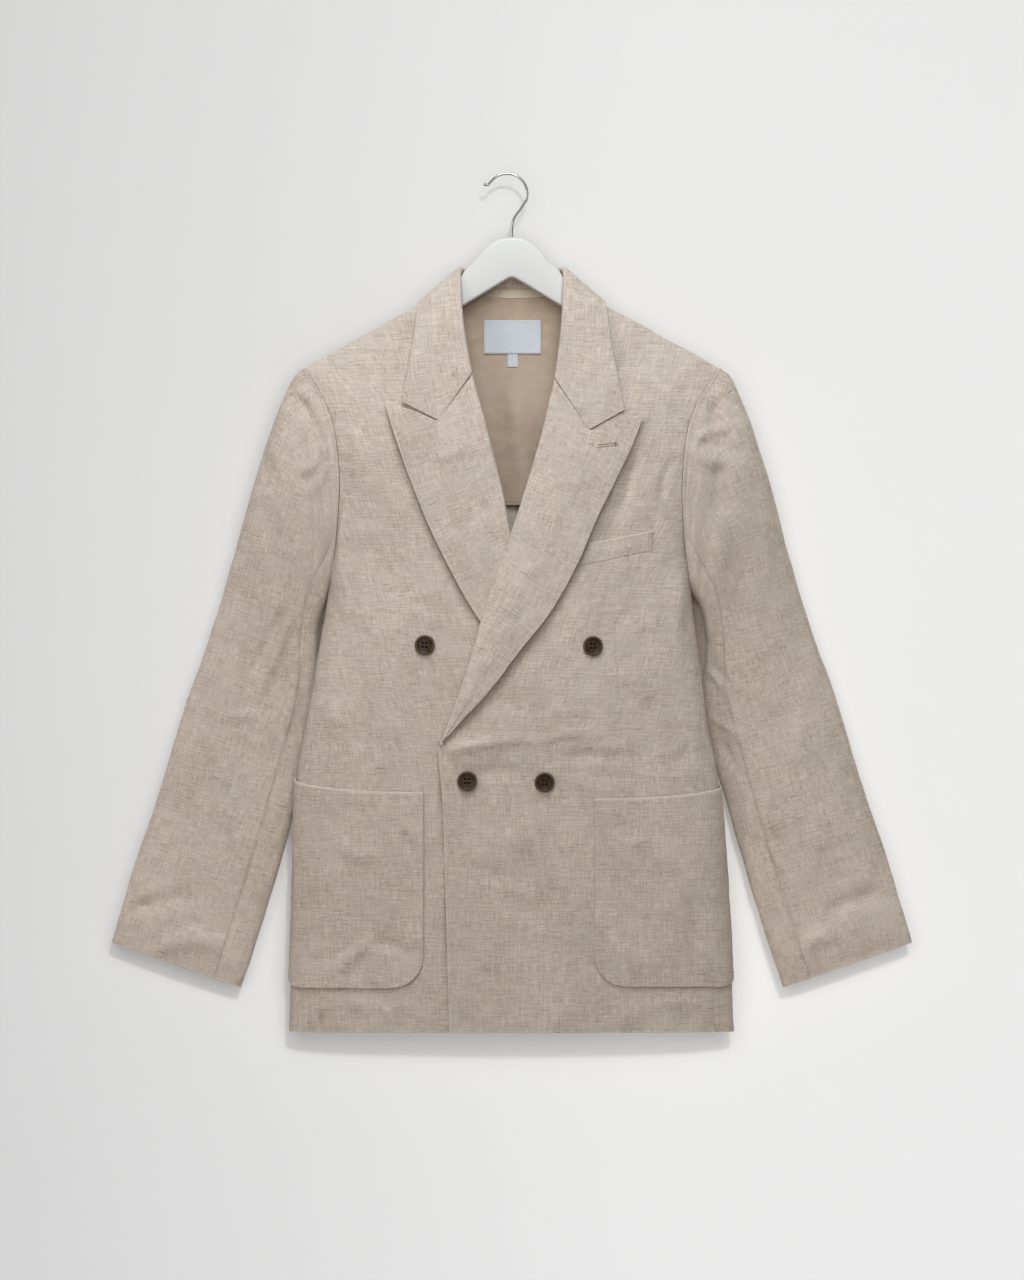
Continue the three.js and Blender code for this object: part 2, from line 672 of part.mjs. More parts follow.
// A lapel turns out round its fold and lies on the front. u from -1 to 1 goes round the fold, from 1 to
// 1.5 out to the notch, and on to the edge at 2. v counts the rows of the lapel's table.
function lapelPoint(side, u, v) {
  const edges = side > 0 ? LAPEL_LEFT : LAPEL_RIGHT;
  const notch = side > 0 ? NOTCH_LEFT : NOTCH_RIGHT;
  const foldAt = (row) => {
    const z = look(edges, "fold", row);
    return new THREE.Vector2(look(side > 0 ? FOLD_LEFT : FOLD_RIGHT, "x", z), z);
  };
  const edgeAt = (row) => new THREE.Vector2(look(edges, "x", row), look(edges, "z", row));
  const dip = new THREE.Vector2(notch.x, notch.z).sub(foldAt(0).lerp(edgeAt(0), 0.5));
  const [fold, edge] = [foldAt(v), edgeAt(v)];
  const bend = fold.clone().lerp(edge, 0.5).addScaledVector(dip, clamp(1 - v / NOTCH_ROWS) ** 2);
  const turn = (Math.min(u, 1) * Math.PI) / 2;
  const out = clamp(u - 1);
  const first = bend.clone().sub(fold);
  const place = fold.clone().addScaledVector(first.normalize(), FOLD_RADIUS * (1 - Math.cos(turn)));
  if (out > 0) place.lerp(bend, clamp(out * 2));
  if (out > 0.5) place.lerp(edge, out * 2 - 1);
  const height =
    out > 0 ? mix(LAPEL_EDGE, ROLL, (1 - out) ** 2) : FOLD_RADIUS * Math.sin(turn) + FOLD_RADIUS - CLOTH;
  const point = frontFace(side, place.x, place.y);
  point.y -= height;
  return point;
}

// A line of the collar at a row, from -10 (the right gorge) over 0 (the centre back) to 10 (the left one).
function collarLine(rows, row) {
  const side = row < 0 ? -1 : 1;
  const at = COLLAR_ROWS - Math.abs(row);
  const lift = side < 0 ? 1 - smooth(at / RIGHT_COLLAR.rows) : 0;
  const x = side * (look(rows, "x", at) - RIGHT_COLLAR.dx * lift);
  return new THREE.Vector3(x, look(rows, "y", at), look(rows, "z", at) + RIGHT_COLLAR.dz * lift);
}

// The collar's edge runs straight from the notch to the leaf's corner, and then up and round the neck.
function collarEdge(row) {
  const side = row < 0 ? -1 : 1;
  const at = COLLAR_ROWS - Math.abs(row);
  if (at >= 1) return collarLine(COLLAR_EDGE, row);
  const notch = side > 0 ? NOTCH_LEFT : NOTCH_RIGHT;
  const corner = collarLine(COLLAR_EDGE, side * (COLLAR_ROWS - 1));
  return frontFace(side, notch.x, notch.z + CLEAR).addScaledVector(FORWARD, LAPEL_EDGE).lerp(corner, at);
}

// The collar folds over its crease: u from 0 to 1 climbs the stand, from 1 to 3 goes round the crease and
// from 3 to 4 falls to the edge.
function collarPoint(u, row) {
  const crease = collarLine(COLLAR_CREASE, row);
  const edge = collarEdge(row);
  const seam = collarLine(COLLAR_SEAM, row);
  const next = collarLine(COLLAR_CREASE, Math.min(row + COLLAR_STEP, COLLAR_ROWS));
  const last = collarLine(COLLAR_CREASE, Math.max(row - COLLAR_STEP, -COLLAR_ROWS));
  const stand = smooth((COLLAR_ROWS - Math.abs(row)) / STAND_ROWS);
  const down = edge.clone().sub(crease).normalize();
  down.addScaledVector(seam.clone().sub(crease).normalize(), stand).normalize();
  const out = next.sub(last).cross(down).normalize();
  const turn = ((Math.min(Math.max(u, 1), 3) - 2) * Math.PI) / 2;
  const round = crease.clone().addScaledVector(down, FOLD_RADIUS * (1 - Math.cos(turn)));
  round.addScaledVector(out, FOLD_RADIUS * Math.sin(turn));
  if (u < 1) return seam.lerp(round, u);
  const point = u > 3 ? round.lerp(edge, u - 3) : round;
  if (u >= 3 && point.z < FRONT_REST_Z) {
    point.y = Math.min(point.y, frontFace(Math.sign(row), point.x, point.z).y - FACING - CLEAR);
  }
  return point;
}

// ---------------------------------------------------------------------------- sewn-on pieces
// The outward normal of the left or right front at x and z.
function frontNormal(side, x, z) {
  const across = frontFace(side, x + 0.5, z).sub(frontFace(side, x - 0.5, z));
  const up = frontFace(side, x, z + 0.5).sub(frontFace(side, x, z - 0.5));
  return across.cross(up).normalize();
}

// A patch pocket lies on the front and wraps round its side. u goes from its inner to its outer edge,
// and v from the mouth to the bottom, whose two corners are round.
function pocketPoint(side, u, v) {
  const size = side > 0 ? POCKET.left : POCKET.right;
  const mouth = mix(size.mouth, size.outerMouth, u ** POCKET_RISE);
  const z = mix(mouth, size.bottom, v);
  const drop = clamp((size.bottom + POCKET_CORNER - z) / POCKET_CORNER);
  const corner = POCKET_CORNER * (1 - Math.sqrt(1 - drop ** 2));
  const inner = angleAt(side, side * size.inner, z, 1);
  const lift = POCKET_CLEAR + CLOTH;
  const walk = steps(inner, POCKET_OUTER_ANGLE, POCKET_WALK).map((angle) => {
    const at = formPoint(side, angle, z);
    const out = formPoint(side, angle + 0.5, z).sub(formPoint(side, angle - 0.5, z));
    const away = new THREE.Vector3(side * out.y, -side * out.x, 0).normalize();
    at.y -= angle > 0 ? lapLift(side, at.x, z) : 0;
    return at.addScaledVector(away, -lift);
  });
  const lengths = walk.map((at, i) => (i ? at.distanceTo(walk[i - 1]) : 0));
  const total = lengths.reduce((sum, length) => sum + length, 0);
  let left = mix(corner, total - corner, u);
  let i = 1;
  while (i < walk.length - 1 && left > lengths[i]) left -= lengths[i++];
  return walk[i - 1].clone().lerp(walk[i], left / lengths[i]);
}

function addPocket(side, name) {
  const size = side > 0 ? POCKET.left : POCKET.right;
  const tall = size.mouth - size.bottom;
  const corners = [60, 30, 0].map((angle) => 1 - (POCKET_CORNER * (1 - Math.cos(radians(angle)))) / tall);
  const geometry = sheet((u, v) => pocketPoint(side, u, v), {
    us: [0, 0.14, 0.28, 0.42, 0.55, 0.66, 0.75, 0.82, 0.87, 0.91, 0.94, 0.97, 1],
    vs: [0, 0.4, 1 - POCKET_CORNER / tall, ...corners],
    thickness: CLOTH,
    facing: FORWARD,
  });
  add(`pocket_${name}`, geometry, LINEN);
}

// The breast welt, a slanting band on the left front.
function welt() {
  const point = (u, v) => {
    const x = mix(mix(WELT.innerTop, WELT.innerFoot, v), WELT.outer, u);
    const z = mix(WELT.topInner, WELT.topOuter, u) - v * mix(WELT.innerDepth, WELT.outerDepth, u);
    return frontFace(1, x, z).addScaledVector(frontNormal(1, x, z), CLEAR + CLOTH);
  };
  return sheet(point, { us: steps(0, 1, 4), vs: [0, 0.5, 1], thickness: CLOTH, facing: FORWARD });
}

// A four-hole button: a disc with a raised rim and a dished middle, facing +Y before it is turned.
function buttonGeometry() {
  const profile = BUTTON_PROFILE.map(([radius, height]) => new THREE.Vector2(radius, height));
  let solid = solidOf(new THREE.LatheGeometry(profile, 28));
  for (const [x, z] of [[1, 1], [1, -1], [-1, 1], [-1, -1]]) {
    const hole = new THREE.CylinderGeometry(BUTTON_HOLE, BUTTON_HOLE, 4 * BUTTON_THICKNESS, 8);
    hole.translate(x * BUTTON_HOLES_APART * Math.SQRT1_2, 0, z * BUTTON_HOLES_APART * Math.SQRT1_2);
    solid = solid.subtract(solidOf(hole));
  }
  return geometryOf(solid);
}

function addButtons() {
  for (const [name, { x, z, side, tilt }] of Object.entries(BUTTONS)) {
    const normal = frontNormal(side, x, z);
    const facing = normal.clone().add(new THREE.Vector3(0, 0, tilt)).normalize();
    const mesh = add(name, buttonGeometry(), HORN);
    const stand = BUTTON_STAND + tilt * BUTTON_FOOT;
    mesh.quaternion.setFromUnitVectors(new THREE.Vector3(0, 1, 0), facing);
    mesh.position.copy(frontFace(side, x, z).addScaledVector(normal, stand));
  }
}

// ---------------------------------------------------------------------------- inside the neck
// A point inside the back, this far in front of the back panel's outer face.
function insidePoint(x, z, inset) {
  const point = backFace(x, z);
  point.y -= CLOTH + inset;
  return point;
}

// The lining hangs from the neck seam in soft vertical folds that grow towards its hem.
function liningPoint(u, v) {
  const x = u * mix(LINING.halfTop, LINING.halfHem, smooth(v * 1.6));
  const z = mix(backTop(u * LINING.halfTop) - LINING.below, LINING.hem, v);
  const wave = ([share, length, start]) => share * Math.sin(x / length + start);
  const waves = LINING_WAVES.reduce((sum, each) => sum + wave(each), 0.5);
  const grown = smooth((LABEL.bottom - z) / LINING_FOLD_RUN);
  return insidePoint(x, z, LINING.inset + LINING.folds * waves * grown);
}

function flatTab({ left, right, top, bottom, inset, thickness }) {
  const point = (u, v) => insidePoint(mix(left, right, u), mix(top, bottom, v), inset);
  return sheet(point, { us: steps(0, 1, 4), vs: [0, 0.5, 1], thickness, facing: FORWARD, hold: 0 });
}

// The hanging loop lies along the collar's stand.
function loopPoint(u, v) {
  const point = collarPoint(mix(LOOP.low, LOOP.high, v), mix(LOOP.rightRow, LOOP.leftRow, u));
  point.y -= CLEAR + LOOP.thickness;
  return point;
}

// ---------------------------------------------------------------------------- hanger
// The hanger is cut from a board: a dome at the neck and an arm down each shoulder.
function hangerGeometry() {
  const top = steps(0, DOME_END_X, 15).map((x) => new THREE.Vector2(x, look(DOME, "z", x)));
  const armTop = (x) => ridgeHeight(x) - HANGER_DROP;
  const tipTop = (x) => armTop(HANGER_TIP_X + Math.min(x, 0));
  const under = (x) => mix(HANGER_APEX_Z, armTop(HANGER_NECK_X) - HANGER_ARM, x / HANGER_NECK_X);
  const half = [
    ...top,
    ...HANGER_TIP.map(([x, z]) => new THREE.Vector2(HANGER_TIP_X + x, tipTop(x) + z)),
    new THREE.Vector2(HANGER_NECK_X, under(HANGER_NECK_X)),
    new THREE.Vector2(HANGER_APEX_FLAT, under(HANGER_APEX_FLAT)),
    new THREE.Vector2(0, under(HANGER_APEX_FLAT / 2)),
  ];
  const mirrored = half.slice(1, -1).reverse().map((p) => new THREE.Vector2(-p.x, p.y));
  const board = new THREE.ExtrudeGeometry(new THREE.Shape([...half, ...mirrored]), {
    depth: HANGER_THICKNESS - 2 * HANGER_BEVEL,
    bevelThickness: HANGER_BEVEL,
    bevelSize: HANGER_BEVEL,
    bevelOffset: -HANGER_BEVEL,
    bevelSegments: 2,
  });
  board.rotateX(Math.PI / 2);
  board.translate(0, HANGER_THICKNESS / 2 - HANGER_BEVEL - HANGER_FORWARD, 0);
  const bore = new THREE.CylinderGeometry(WIRE + 2 * SEAM, WIRE + 2 * SEAM, 2 * STEM_DEPTH, 16);
  bore.rotateX(Math.PI / 2);
  bore.translate(0, 0, HANGER_TOP_Z);
  return geometryOf(solidOf(board).subtract(solidOf(bore)));
}

// The hook is one wire: a flicked tip with a ball, the bend over the rail, and the stem into the hanger.
function hookGeometry() {
  const centreZ = -Math.sqrt((BEND_RADIUS - WIRE) ** 2 - BEND_X ** 2);
  const bend = steps(HOOK_BEND.from, HOOK_BEND.to, 8).map((angle) => [
    BEND_X + BEND_RADIUS * Math.cos(radians(angle)),
    centreZ + BEND_RADIUS * Math.sin(radians(angle)),
  ]);
  const route = [...HOOK_TIP, ...bend, ...HOOK_NECK, [0, HANGER_TOP_Z - STEM_DEPTH + 2 * SEAM]];
  const path = new THREE.CatmullRomCurve3(route.map(([x, z]) => new THREE.Vector3(x, 0, z)));
  const section = new THREE.Shape().absarc(0, 0, WIRE, 0, 2 * Math.PI);
  const wire = new THREE.ExtrudeGeometry(section, { steps: 60, extrudePath: path, curveSegments: 5 });
  const ball = new THREE.SphereGeometry(TIP_BALL, 12, 8);
  ball.translate(HOOK_TIP[0][0], 0, HOOK_TIP[0][1]);
  return geometryOf(solidOf(wire).add(solidOf(ball)));
}

// ---------------------------------------------------------------------------- the blazer
for (const side of [1, -1]) {
  const name = side > 0 ? "left" : "right";
  addBody(side, name);
  addSleeve(side, name);
  const lapel = sheet((u, v) => lapelPoint(side, u, v), {
    us: [-1, -0.5, 0, 0.5, 1, 1.25, 1.5, 1.75, 2],
    vs: steps(0, 10, 10),
    thickness: FACING,
    facing: FORWARD,
  });
  add(`lapel_${name}`, lapel, LINEN);
  addPocket(side, name);
}
const collar = sheet(collarPoint, {
  us: [0, 0.5, 1, 1.5, 2, 2.5, 3, 3.5, 4],
  vs: [-10, -9, -8.2, -7.5, -6.8, ...steps(-6, 6, 14), 6.8, 7.5, 8.2, 9, 10],
  thickness: FACING,
  facing: new THREE.Vector3(0, 0, 1),
});
const lining = sheet(liningPoint, {
  us: steps(-1, 1, 12),
  vs: steps(0, 1, 5),
  thickness: LINING.thickness,
  facing: FORWARD,
});
const loop = sheet(loopPoint, {
  us: steps(0, 1, 5),
  vs: [0, 0.5, 1],
  thickness: LOOP.thickness,
  facing: FORWARD,
});
add("collar", collar, LINEN);
add("chest_welt", welt(), LINEN);
add("back_lining", lining, LINING_SATIN);
add("label", flatTab(LABEL), LABEL_SATIN);
add("size_tab", flatTab(SIZE_TAB), LABEL_SATIN);
add("hanging_loop", loop, LOOP_SATIN);
addButtons();
add("hanger", hangerGeometry(), PAINT);
add("hook", hookGeometry(), CHROME);

export default blazer;
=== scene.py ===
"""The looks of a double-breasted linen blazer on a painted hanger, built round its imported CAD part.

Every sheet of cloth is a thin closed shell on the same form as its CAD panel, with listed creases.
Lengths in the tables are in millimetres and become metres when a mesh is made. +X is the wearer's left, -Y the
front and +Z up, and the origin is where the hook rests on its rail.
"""

import math

import bpy
import numpy as np
from bpy.props import FloatProperty, FloatVectorProperty, PointerProperty
from bpy.types import Operator, Panel, PropertyGroup
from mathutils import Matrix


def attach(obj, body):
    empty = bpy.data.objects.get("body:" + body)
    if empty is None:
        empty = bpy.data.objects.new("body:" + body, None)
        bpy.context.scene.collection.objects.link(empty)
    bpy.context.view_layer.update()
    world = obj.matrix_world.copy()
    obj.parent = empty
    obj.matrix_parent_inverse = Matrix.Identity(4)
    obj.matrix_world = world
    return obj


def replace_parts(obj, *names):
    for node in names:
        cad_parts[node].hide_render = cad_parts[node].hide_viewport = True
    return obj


bl_info = {
    "name": "Linen Blazer on a Hanger",
    "version": (1, 0, 0),
    "blender": (4, 5, 0),
    "location": "View3D > Sidebar > Blazer",
    "description": "Builds the looks of a double-breasted linen blazer on a painted hanger",
    "category": "Add Mesh",
}

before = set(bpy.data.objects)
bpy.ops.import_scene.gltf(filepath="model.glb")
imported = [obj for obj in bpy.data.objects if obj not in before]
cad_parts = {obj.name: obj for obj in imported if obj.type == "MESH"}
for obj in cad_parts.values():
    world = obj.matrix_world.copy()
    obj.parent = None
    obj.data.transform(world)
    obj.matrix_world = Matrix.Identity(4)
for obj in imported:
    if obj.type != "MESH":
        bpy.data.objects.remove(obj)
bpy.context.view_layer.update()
MM = 0.001
SIDES = ((1, "left"), (-1, "right"))  # the wearer's
FORWARD = np.array([0, -1.0, 0])

# ---------------------------------------------------------------------------- sizes
CLOTH = 1.5  # a panel with its fusing
FACING = 1.9  # a lapel or collar, which is two layers
SEAM = 0.18  # each side of a seam in the CAD part stands back this far
CLEAR = 0.5  # between a piece and what it lies on
GORGE_OVERLAP = 0.5
SEAM_OVERLAP = 0.34  # neighbouring panels run this far into each other's rounded edges

RING_POWER = 2.8  # how square the rings are: 2 is an ellipse
NECK_X = 75
NECK_Z = -123.5
NECK_BACK_Z = -131
SHOULDER_SLOPE = 0.5465
RIDGE = 10  # radius of the cloth over the hanger's arm
FRONT_FALL = 140  # below the ridge the front reaches its full depth in this height
BACK_FALL = 100
GORGE_Z = -212
BREAK_Z = -596
BREAK_TOP = BREAK_Z + 6
BREAK_FOOT = BREAK_Z - 2
HEM_Z = -898

ROLL = 4.6  # a lapel's height above the front at its fold
LAPEL_EDGE = 3  # and at its edge
LAPEL_SPRING = 6.5  # a pressed lapel's edge springs this much higher
ROLL_SPRING = 2.8  # and its roll bows out by this much
COLLAR_SPRING = 6.5
FOLD_RADIUS = (ROLL + CLOTH) / 2
FOLD_INSET = FOLD_RADIUS + 2 * SEAM
RIM_ANGLES = np.radians([30, 60, 90, 120, 150])  # the steps of a sheet's half round edge
NEXT_ROW_SHARE = 0.6  # how far the row beside an edge is drawn in with it
FREE = 0.7  # how much paler a free edge is painted, as highlight
SEWN = -0.3  # and how much darker a sewn edge is painted, as shade in its seam
PANEL_ACROSS = 170  # turns a share across a front or back into millimetres
ARMHOLE_FADE = 14  # creases die away over this distance from an armhole


def table(names, rows):
    """Named columns as arrays, in rising order of the first one, which is stored as "key"."""
    columns = np.array(rows, float).T
    if columns[0][0] > columns[0][-1]:
        columns = columns[:, ::-1]
    return dict(zip(["key", *names.split()[1:]], columns))


# The body's rings: half width, sideways shift, depth in front and behind, and the side's place in Y.
BODY = table("z half shift front back side", [
    (-100, 252, 0, 38, 20, 0),
    (-202, 240, 0, 42, 21, 0),
    (-257, 224, -1, 45, 21, 0),
    (-305, 212, -1, 47, 21, 0),
    (-343, 204, -1.5, 48, 21, 0),
    (-390, 194.5, -2, 48, 20, -1),
    (-415, 191.8, -2.5, 48, 19, -2),
    (-437, 190.5, -2.5, 48, 18, -3),
    (-487, 197, -3.5, 47, 17, -7),
    (-536, 204.5, -4.5, 45, 17, -9),
    (-580, 211.5, -5.5, 44, 17, -10),
    (-631, 221, -5, 42, 17, -10),
    (-700, 227, -3, 40, 17, -8),
    (-780, 230.5, -1.5, 38, 18, -5),
    (HEM_Z, 233.5, -0.5, 35, 19, -3),
])

# The armhole seam, once round from the shoulder tip: down the front, under the arm and up the back.
ARMHOLE = table("turn angle z", [
    (0, 29.8, -202),
    (20, 33, -214),
    (40, 37.2, -237),
    (60, 39, -267),
    (80, 37.3, -305),
    (100, 33.3, -343),
    (120, 27, -375),
    (140, 19.5, -404),
    (160, 11, -426),
    (180, 0, -437),
    (200, -14, -434),
    (220, -27, -424),
    (240, -34, -405),
    (260, -37.5, -374),
    (280, -38.5, -335),
    (300, -38, -294),
    (320, -36.5, -254),
    (340, -33.5, -221),
    (360, -29.8, -202),
])
FRONT_TURNS = [0, 8, 18, 32, 48, 66, 84, 103, 121, 140, 158]
BACK_TURNS = [360, 353, 344, 334, 322, 303, 282, 262, 244, 226]
FRONT_SEAM_TURN = 158  # where the side panel's two seams meet the armhole
BACK_SEAM_TURN = 226
FOREARM_SEAM = 121  # the sleeve's two seams, as turns round it
HIND_SEAM = 322
SEAM_HEIGHTS = [-468, -512, -552, BREAK_TOP, BREAK_FOOT, -655, -715, -775, -836, HEM_Z]
STRAIGHT_ROWS = 2
FRONT_HEIGHTS = [NECK_Z, -126.5, -133, -149, -175, -207, -246, -290, -335, -380, -424]
BACK_HEIGHTS = [NECK_BACK_Z, -133.5, -138.5, -147, -161, -191, -238, -300, -362, -419]
FRONT_ARM_ROWS = len(FRONT_TURNS) - 1  # the rows that end at the armhole
BACK_ARM_ROWS = len(BACK_TURNS) - 1
BREAK_ROW = 13  # below this row a front's inner edge is free

# The side seams, as angles round the ring: 0 is the silhouette, positive is in front.
FRONT_SEAM = table("z angle", [
    (-424, 11.9),
    (-450, 8),
    (-502, 7.5),
    (-536, 12),
    (-570, 18),
    (-631, 25),
    (-760, 30),
    (HEM_Z, 28.5),
])
BACK_SEAM = table("z angle", [
    (-419, -30.3),
    (-470, -38),
    (-560, -45),
    (-700, -47),
    (HEM_Z, -44),
])

# The fold of each lapel, and below its break the front edge.
FOLD_LEFT = table("z x", [
    (-104, 52.5),
    (-136, 52.5),
    (-165, 50.5),
    (-194, 47),
    (-214.3, 44.1),
    (-239, 38.3),
    (-280, 28.4),
    (-319, 16.8),
    (-355, 5.8),
    (-446, -25.8),
    (-529, -50.7),
    (-574, -66.8),
    (BREAK_Z, -74.9),
    (-620, -75.6),
    (-655, -72.5),
    (-760, -69),
    (HEM_Z, -65.5),
])
FOLD_RIGHT = table("z x", [
    (-104, -51.5),
    (-136, -50.4),
    (-168, -47),
    (-209.5, -41),
    (-227, -36.5),
    (-250, -30),
    (-295, -18.6),
    (-332, -9.5),
    (-370, -2.2),
    (-450, 15),
    (-520, 33),
    (BREAK_Z, 58),
    (-650, 64),
    (HEM_Z, 66),
])

# How far the left front stands off the right one where they lap.
LAP = table("z lift", [(-209, 0), (-300, 4.4), (-373, 7), (BREAK_Z, 7), (-660, 5), (HEM_Z, 3.2)])
LAP_FULL_X = 60
LAP_NONE_X = 150

# The sleeve's rings: outer and inner points seen from the front, half depths before and behind its middle,
# how far back the middle lies, and how far the ring bows towards the body.
SLEEVE = table("ring outerX outerZ innerX innerZ front back middle bow", [
    (0, 217, -202, 190.5, -437, 29, 17, 0, 25),
    (1, 229, -211, 192.5, -442, 30, 18, 0, 20),
    (2, 241, -236, 195, -448, 31, 19, 1, 13),
    (3, 256, -276, 199, -458, 31, 20, 4, 6),
    (4, 272, -326, 203, -476, 28, 21, 10, 1),
    (5, 293, -404, 204, -506, 24, 20, 18, 0),
    (6, 319, -488, 200, -549, 21, 18, 23, 0),
    (7, 342, -551, 208, -597, 20, 17, 23, 0),
    (8, 367, -635, 231, -678, 18, 15, 18, 0),
    (9, 395, -719, 256, -765, 15, 12, 11, 0),
    (10, 420.5, -805, 284.6, -852.5, 10, 9, 6, 0),
])
SLEEVE_POWER = 0.8
SLEEVE_FILL = 17
HEAD_RINGS = 2.5

NOTCH_LEFT = (80.8, -268.8)
NOTCH_RIGHT = (-77.7, -258.6)
LAPEL_LEFT = table("row fold x z", [
    (0, -214.8, 138, -251.5),
    (1, -237, 134.5, -262),
    (2, -268, 124, -289),
    (3, -300, 107, -324),
    (4, -335, 88, -363),
    (5, -372, 67.7, -410),
    (6, -412, 40, -459),
    (7, -460, 8.4, -499),
    (8, -510, -22, -539.5),
    (9, -556, -49, -569),
    (10, -586, -67, -589),
    (11, -597, -73.6, -597.6),
])
LAPEL_RIGHT = table("row fold x z", [
    (0, -210, -134, -236.5),
    (1, -236, -128.5, -256),
    (2, -268, -115, -297),
    (3, -300, -101, -335),
    (4, -335, -83, -377),
    (5, -372, -62, -419),
    (6, -412, -40, -458),
    (7, -460, -12, -497),
    (8, -510, 14, -535),
    (9, -556, 36, -568),
    (10, -586, 47.5, -589),
])
NOTCH_ROWS = 5

# The collar's left half, from the gorge to the centre back: its crease, its edge and the neck seam.
COLLAR_CREASE = table("row x y z", [
    (0, 44.1, -41.8, -213),
    (1, 46.2, -39.8, -200),
    (2, 50, -34, -172),
    (3, 52.3, -25, -142),
    (4, 53, -14.5, -117),
    (5, 53.5, -7, -101.5),
    (6, 53, 0, -97.3),
    (7, 49.5, 9, -96.7),
    (8, 37, 14.3, -99.4),
    (9, 18, 16.5, -102.5),
    (10, 0, 17, -103),
])
COLLAR_SEAM = table("row x y z", [
    (0, 45.4, -38.8, -214.7),
    (1, 47.8, -37, -203),
    (2, 56, -30, -176),
    (3, 63.6, -22.4, -150.5),
    (4, 69, -13.2, -132.5),
    (5, 71.8, -5, -122),
    (6, 71.5, 2.5, -119.6),
    (7, 63, 8.6, -122.4),
    (8, 48, 11.8, -126.2),
    (9, 25, 14, -129),
    (10, 0, 14.7, -130),
])
COLLAR_EDGE = table("row x y z", [
    (1, 117.4, -43, -247.3),
    (2, 109, -35, -203),
    (3, 103.5, -26.5, -172),
    (4, 100.5, -17.5, -147),
    (5, 99, -8, -134),
    (6, 95, 5.5, -131.4),
    (7, 86, 15, -134),
    (8, 68, 20.5, -139.5),
    (9, 38, 24, -144),
    (10, 0, 25, -146),
])
COLLAR_ROWS = 10
STAND_ROWS = 3
FRONT_REST_Z = -160
RIGHT_COLLAR = {"dx": 2.9, "dz": 4.8, "edge_dz": 10, "rows": 4}

POCKETS = {
    1: {"inner": 86, "mouth": -653, "outer_mouth": -639, "bottom": -850.5},
    -1: {"inner": 92.5, "mouth": -646.5, "outer_mouth": -631.5, "bottom": -852},
}
POCKET_OUTER_ANGLE = -9
POCKET_RISE = 2.4
POCKET_CORNER = 34
POCKET_CORNER_ANGLES = [76, 63, 51, 40, 30, 21, 12, 0]
POCKET_CLEAR = 1.1

WELT = {
    "inner_top": 80,
    "inner_foot": 71,
    "outer": 146.5,
    "top_inner": -387,
    "top_outer": -373.8,
    "inner_depth": 23,
    "outer_depth": 20.5,
}

# Where each kind of panel begins on one long cut, so that no two show the same threads.
GRAIN_STARTS = {"front": 60.0, "side": 410.0, "back": 800.0, "pocket": 1500}

# Each button's place, the front it is sewn to, and how far its top edge stands off.
BUTTONS = {
    "button_upper_right": (-90.8, -493, -1, 0),
    "button_upper_left": (84, -494, 1, 0),
    "button_lower_right": (-46.7, -634.7, 1, 0.12),
    "button_lower_left": (34, -635.8, 1, 0),
}
BUTTON_RADIUS = 10.6
BUTTON_FOOT = 8.4
BUTTON_STAND = 0.5
BUTTON_HOLES_APART = 3
BUTTON_HOLE_X = BUTTON_HOLES_APART * math.sqrt(0.5)
BUTTON_HOLE = 1.1
BUTTON_HOLE_DEPTH = 1.7
BUTTON_UNDERSIDE_ROWS = 10  # the rows of its section that the holes don't reach
# Half of its section, from the middle of the underside round the rim to the dished middle: radius, height.
BUTTON_PROFILE = [
    (0, 0), (6, 0), (8.4, 0), (9.6, 0.35), (10.35, 1.0), (10.6, 1.8), (10.45, 2.6), (10, 3.25), (9.3, 3.58),
    (8.6, 3.55), (8, 3.25), (7.4, 2.85), (6.7, 2.55), (5.8, 2.4), (5.2, 2.35), (4.6, 2.32), (4.2, 2.3),
    (3.9, 2.3), (3.6, 2.3), (3.3, 2.3), (3, 2.3), (2.7, 2.3), (2.4, 2.3), (2.1, 2.3), (1.8, 2.3), (1.4, 2.3),
    (0.8, 2.32), (0, 2.32),
]

LINING = {
    "below": -2.2, "hem": -346, "half_top": 62, "half_hem": 150, "inset": 1.7, "folds": 7.0, "thickness": 0.8,
}
HEM_STITCHES_V = 1 - 8 / 479.2
LABEL = {"left": -29.5, "right": 30.5, "top": -151.5, "bottom": -186.5, "inset": 3.3, "thickness": 0.8}
SIZE_TAB = {"left": -5, "right": 6.5, "top": -187.2, "bottom": -200.5, "inset": 3.2, "thickness": 0.7}
LOOP = {"right_row": -0.86, "left_row": 1.55, "low": 0.05, "high": 0.45, "thickness": 1.2}
# Each row of the label's stitches: u and v at its start, and at its end.
LABEL_STITCH_LINES = (
    (0.025, 0.04, 0.025, 0.96), (0.975, 0.04, 0.975, 0.96), (0.025, 0.955, 0.975, 0.955),
    (0.025, 0.045, 0.975, 0.045),
)
BUTTONHOLE_START = np.array([89.0, -285.6])  # the lapel's, in X and Z
BUTTONHOLE_END = np.array([108.0, -283.4])
STITCH_ARCH = (-1.2, 0.5, 1, 0.5, -1.2)  # heights along a stitch, as shares of its lift
TUBE_END = 0.35  # how narrow a thread is at its end
TUBE_REFERENCE = (0, 1, 0.013)  # no thread or wire runs along this

HANGER_THICKNESS = 12
HANGER_ROUND = 3.2
HANGER_FORWARD = 0.8
HANGER_DROP = 5
HANGER_ARM = 24
HANGER_TIP_START = 190  # from here the arm's end is rounded
HANGER_TIP_LENGTH = 11
HANGER_TIP_ROUND = 11.2
HANGER_APEX_Z = -106.5
DOME = table("x z", [
    (0, -65),
    (8, -65.8),
    (18, -69.5),
    (28, -77),
    (39, -90.5),
    (49, -99.4),
    (55, -108.5),
    (61, -116.5),
    (70, -124.4),
    (80, -130.8),
    (90, -136.2),
])
DOME_END_X = 90

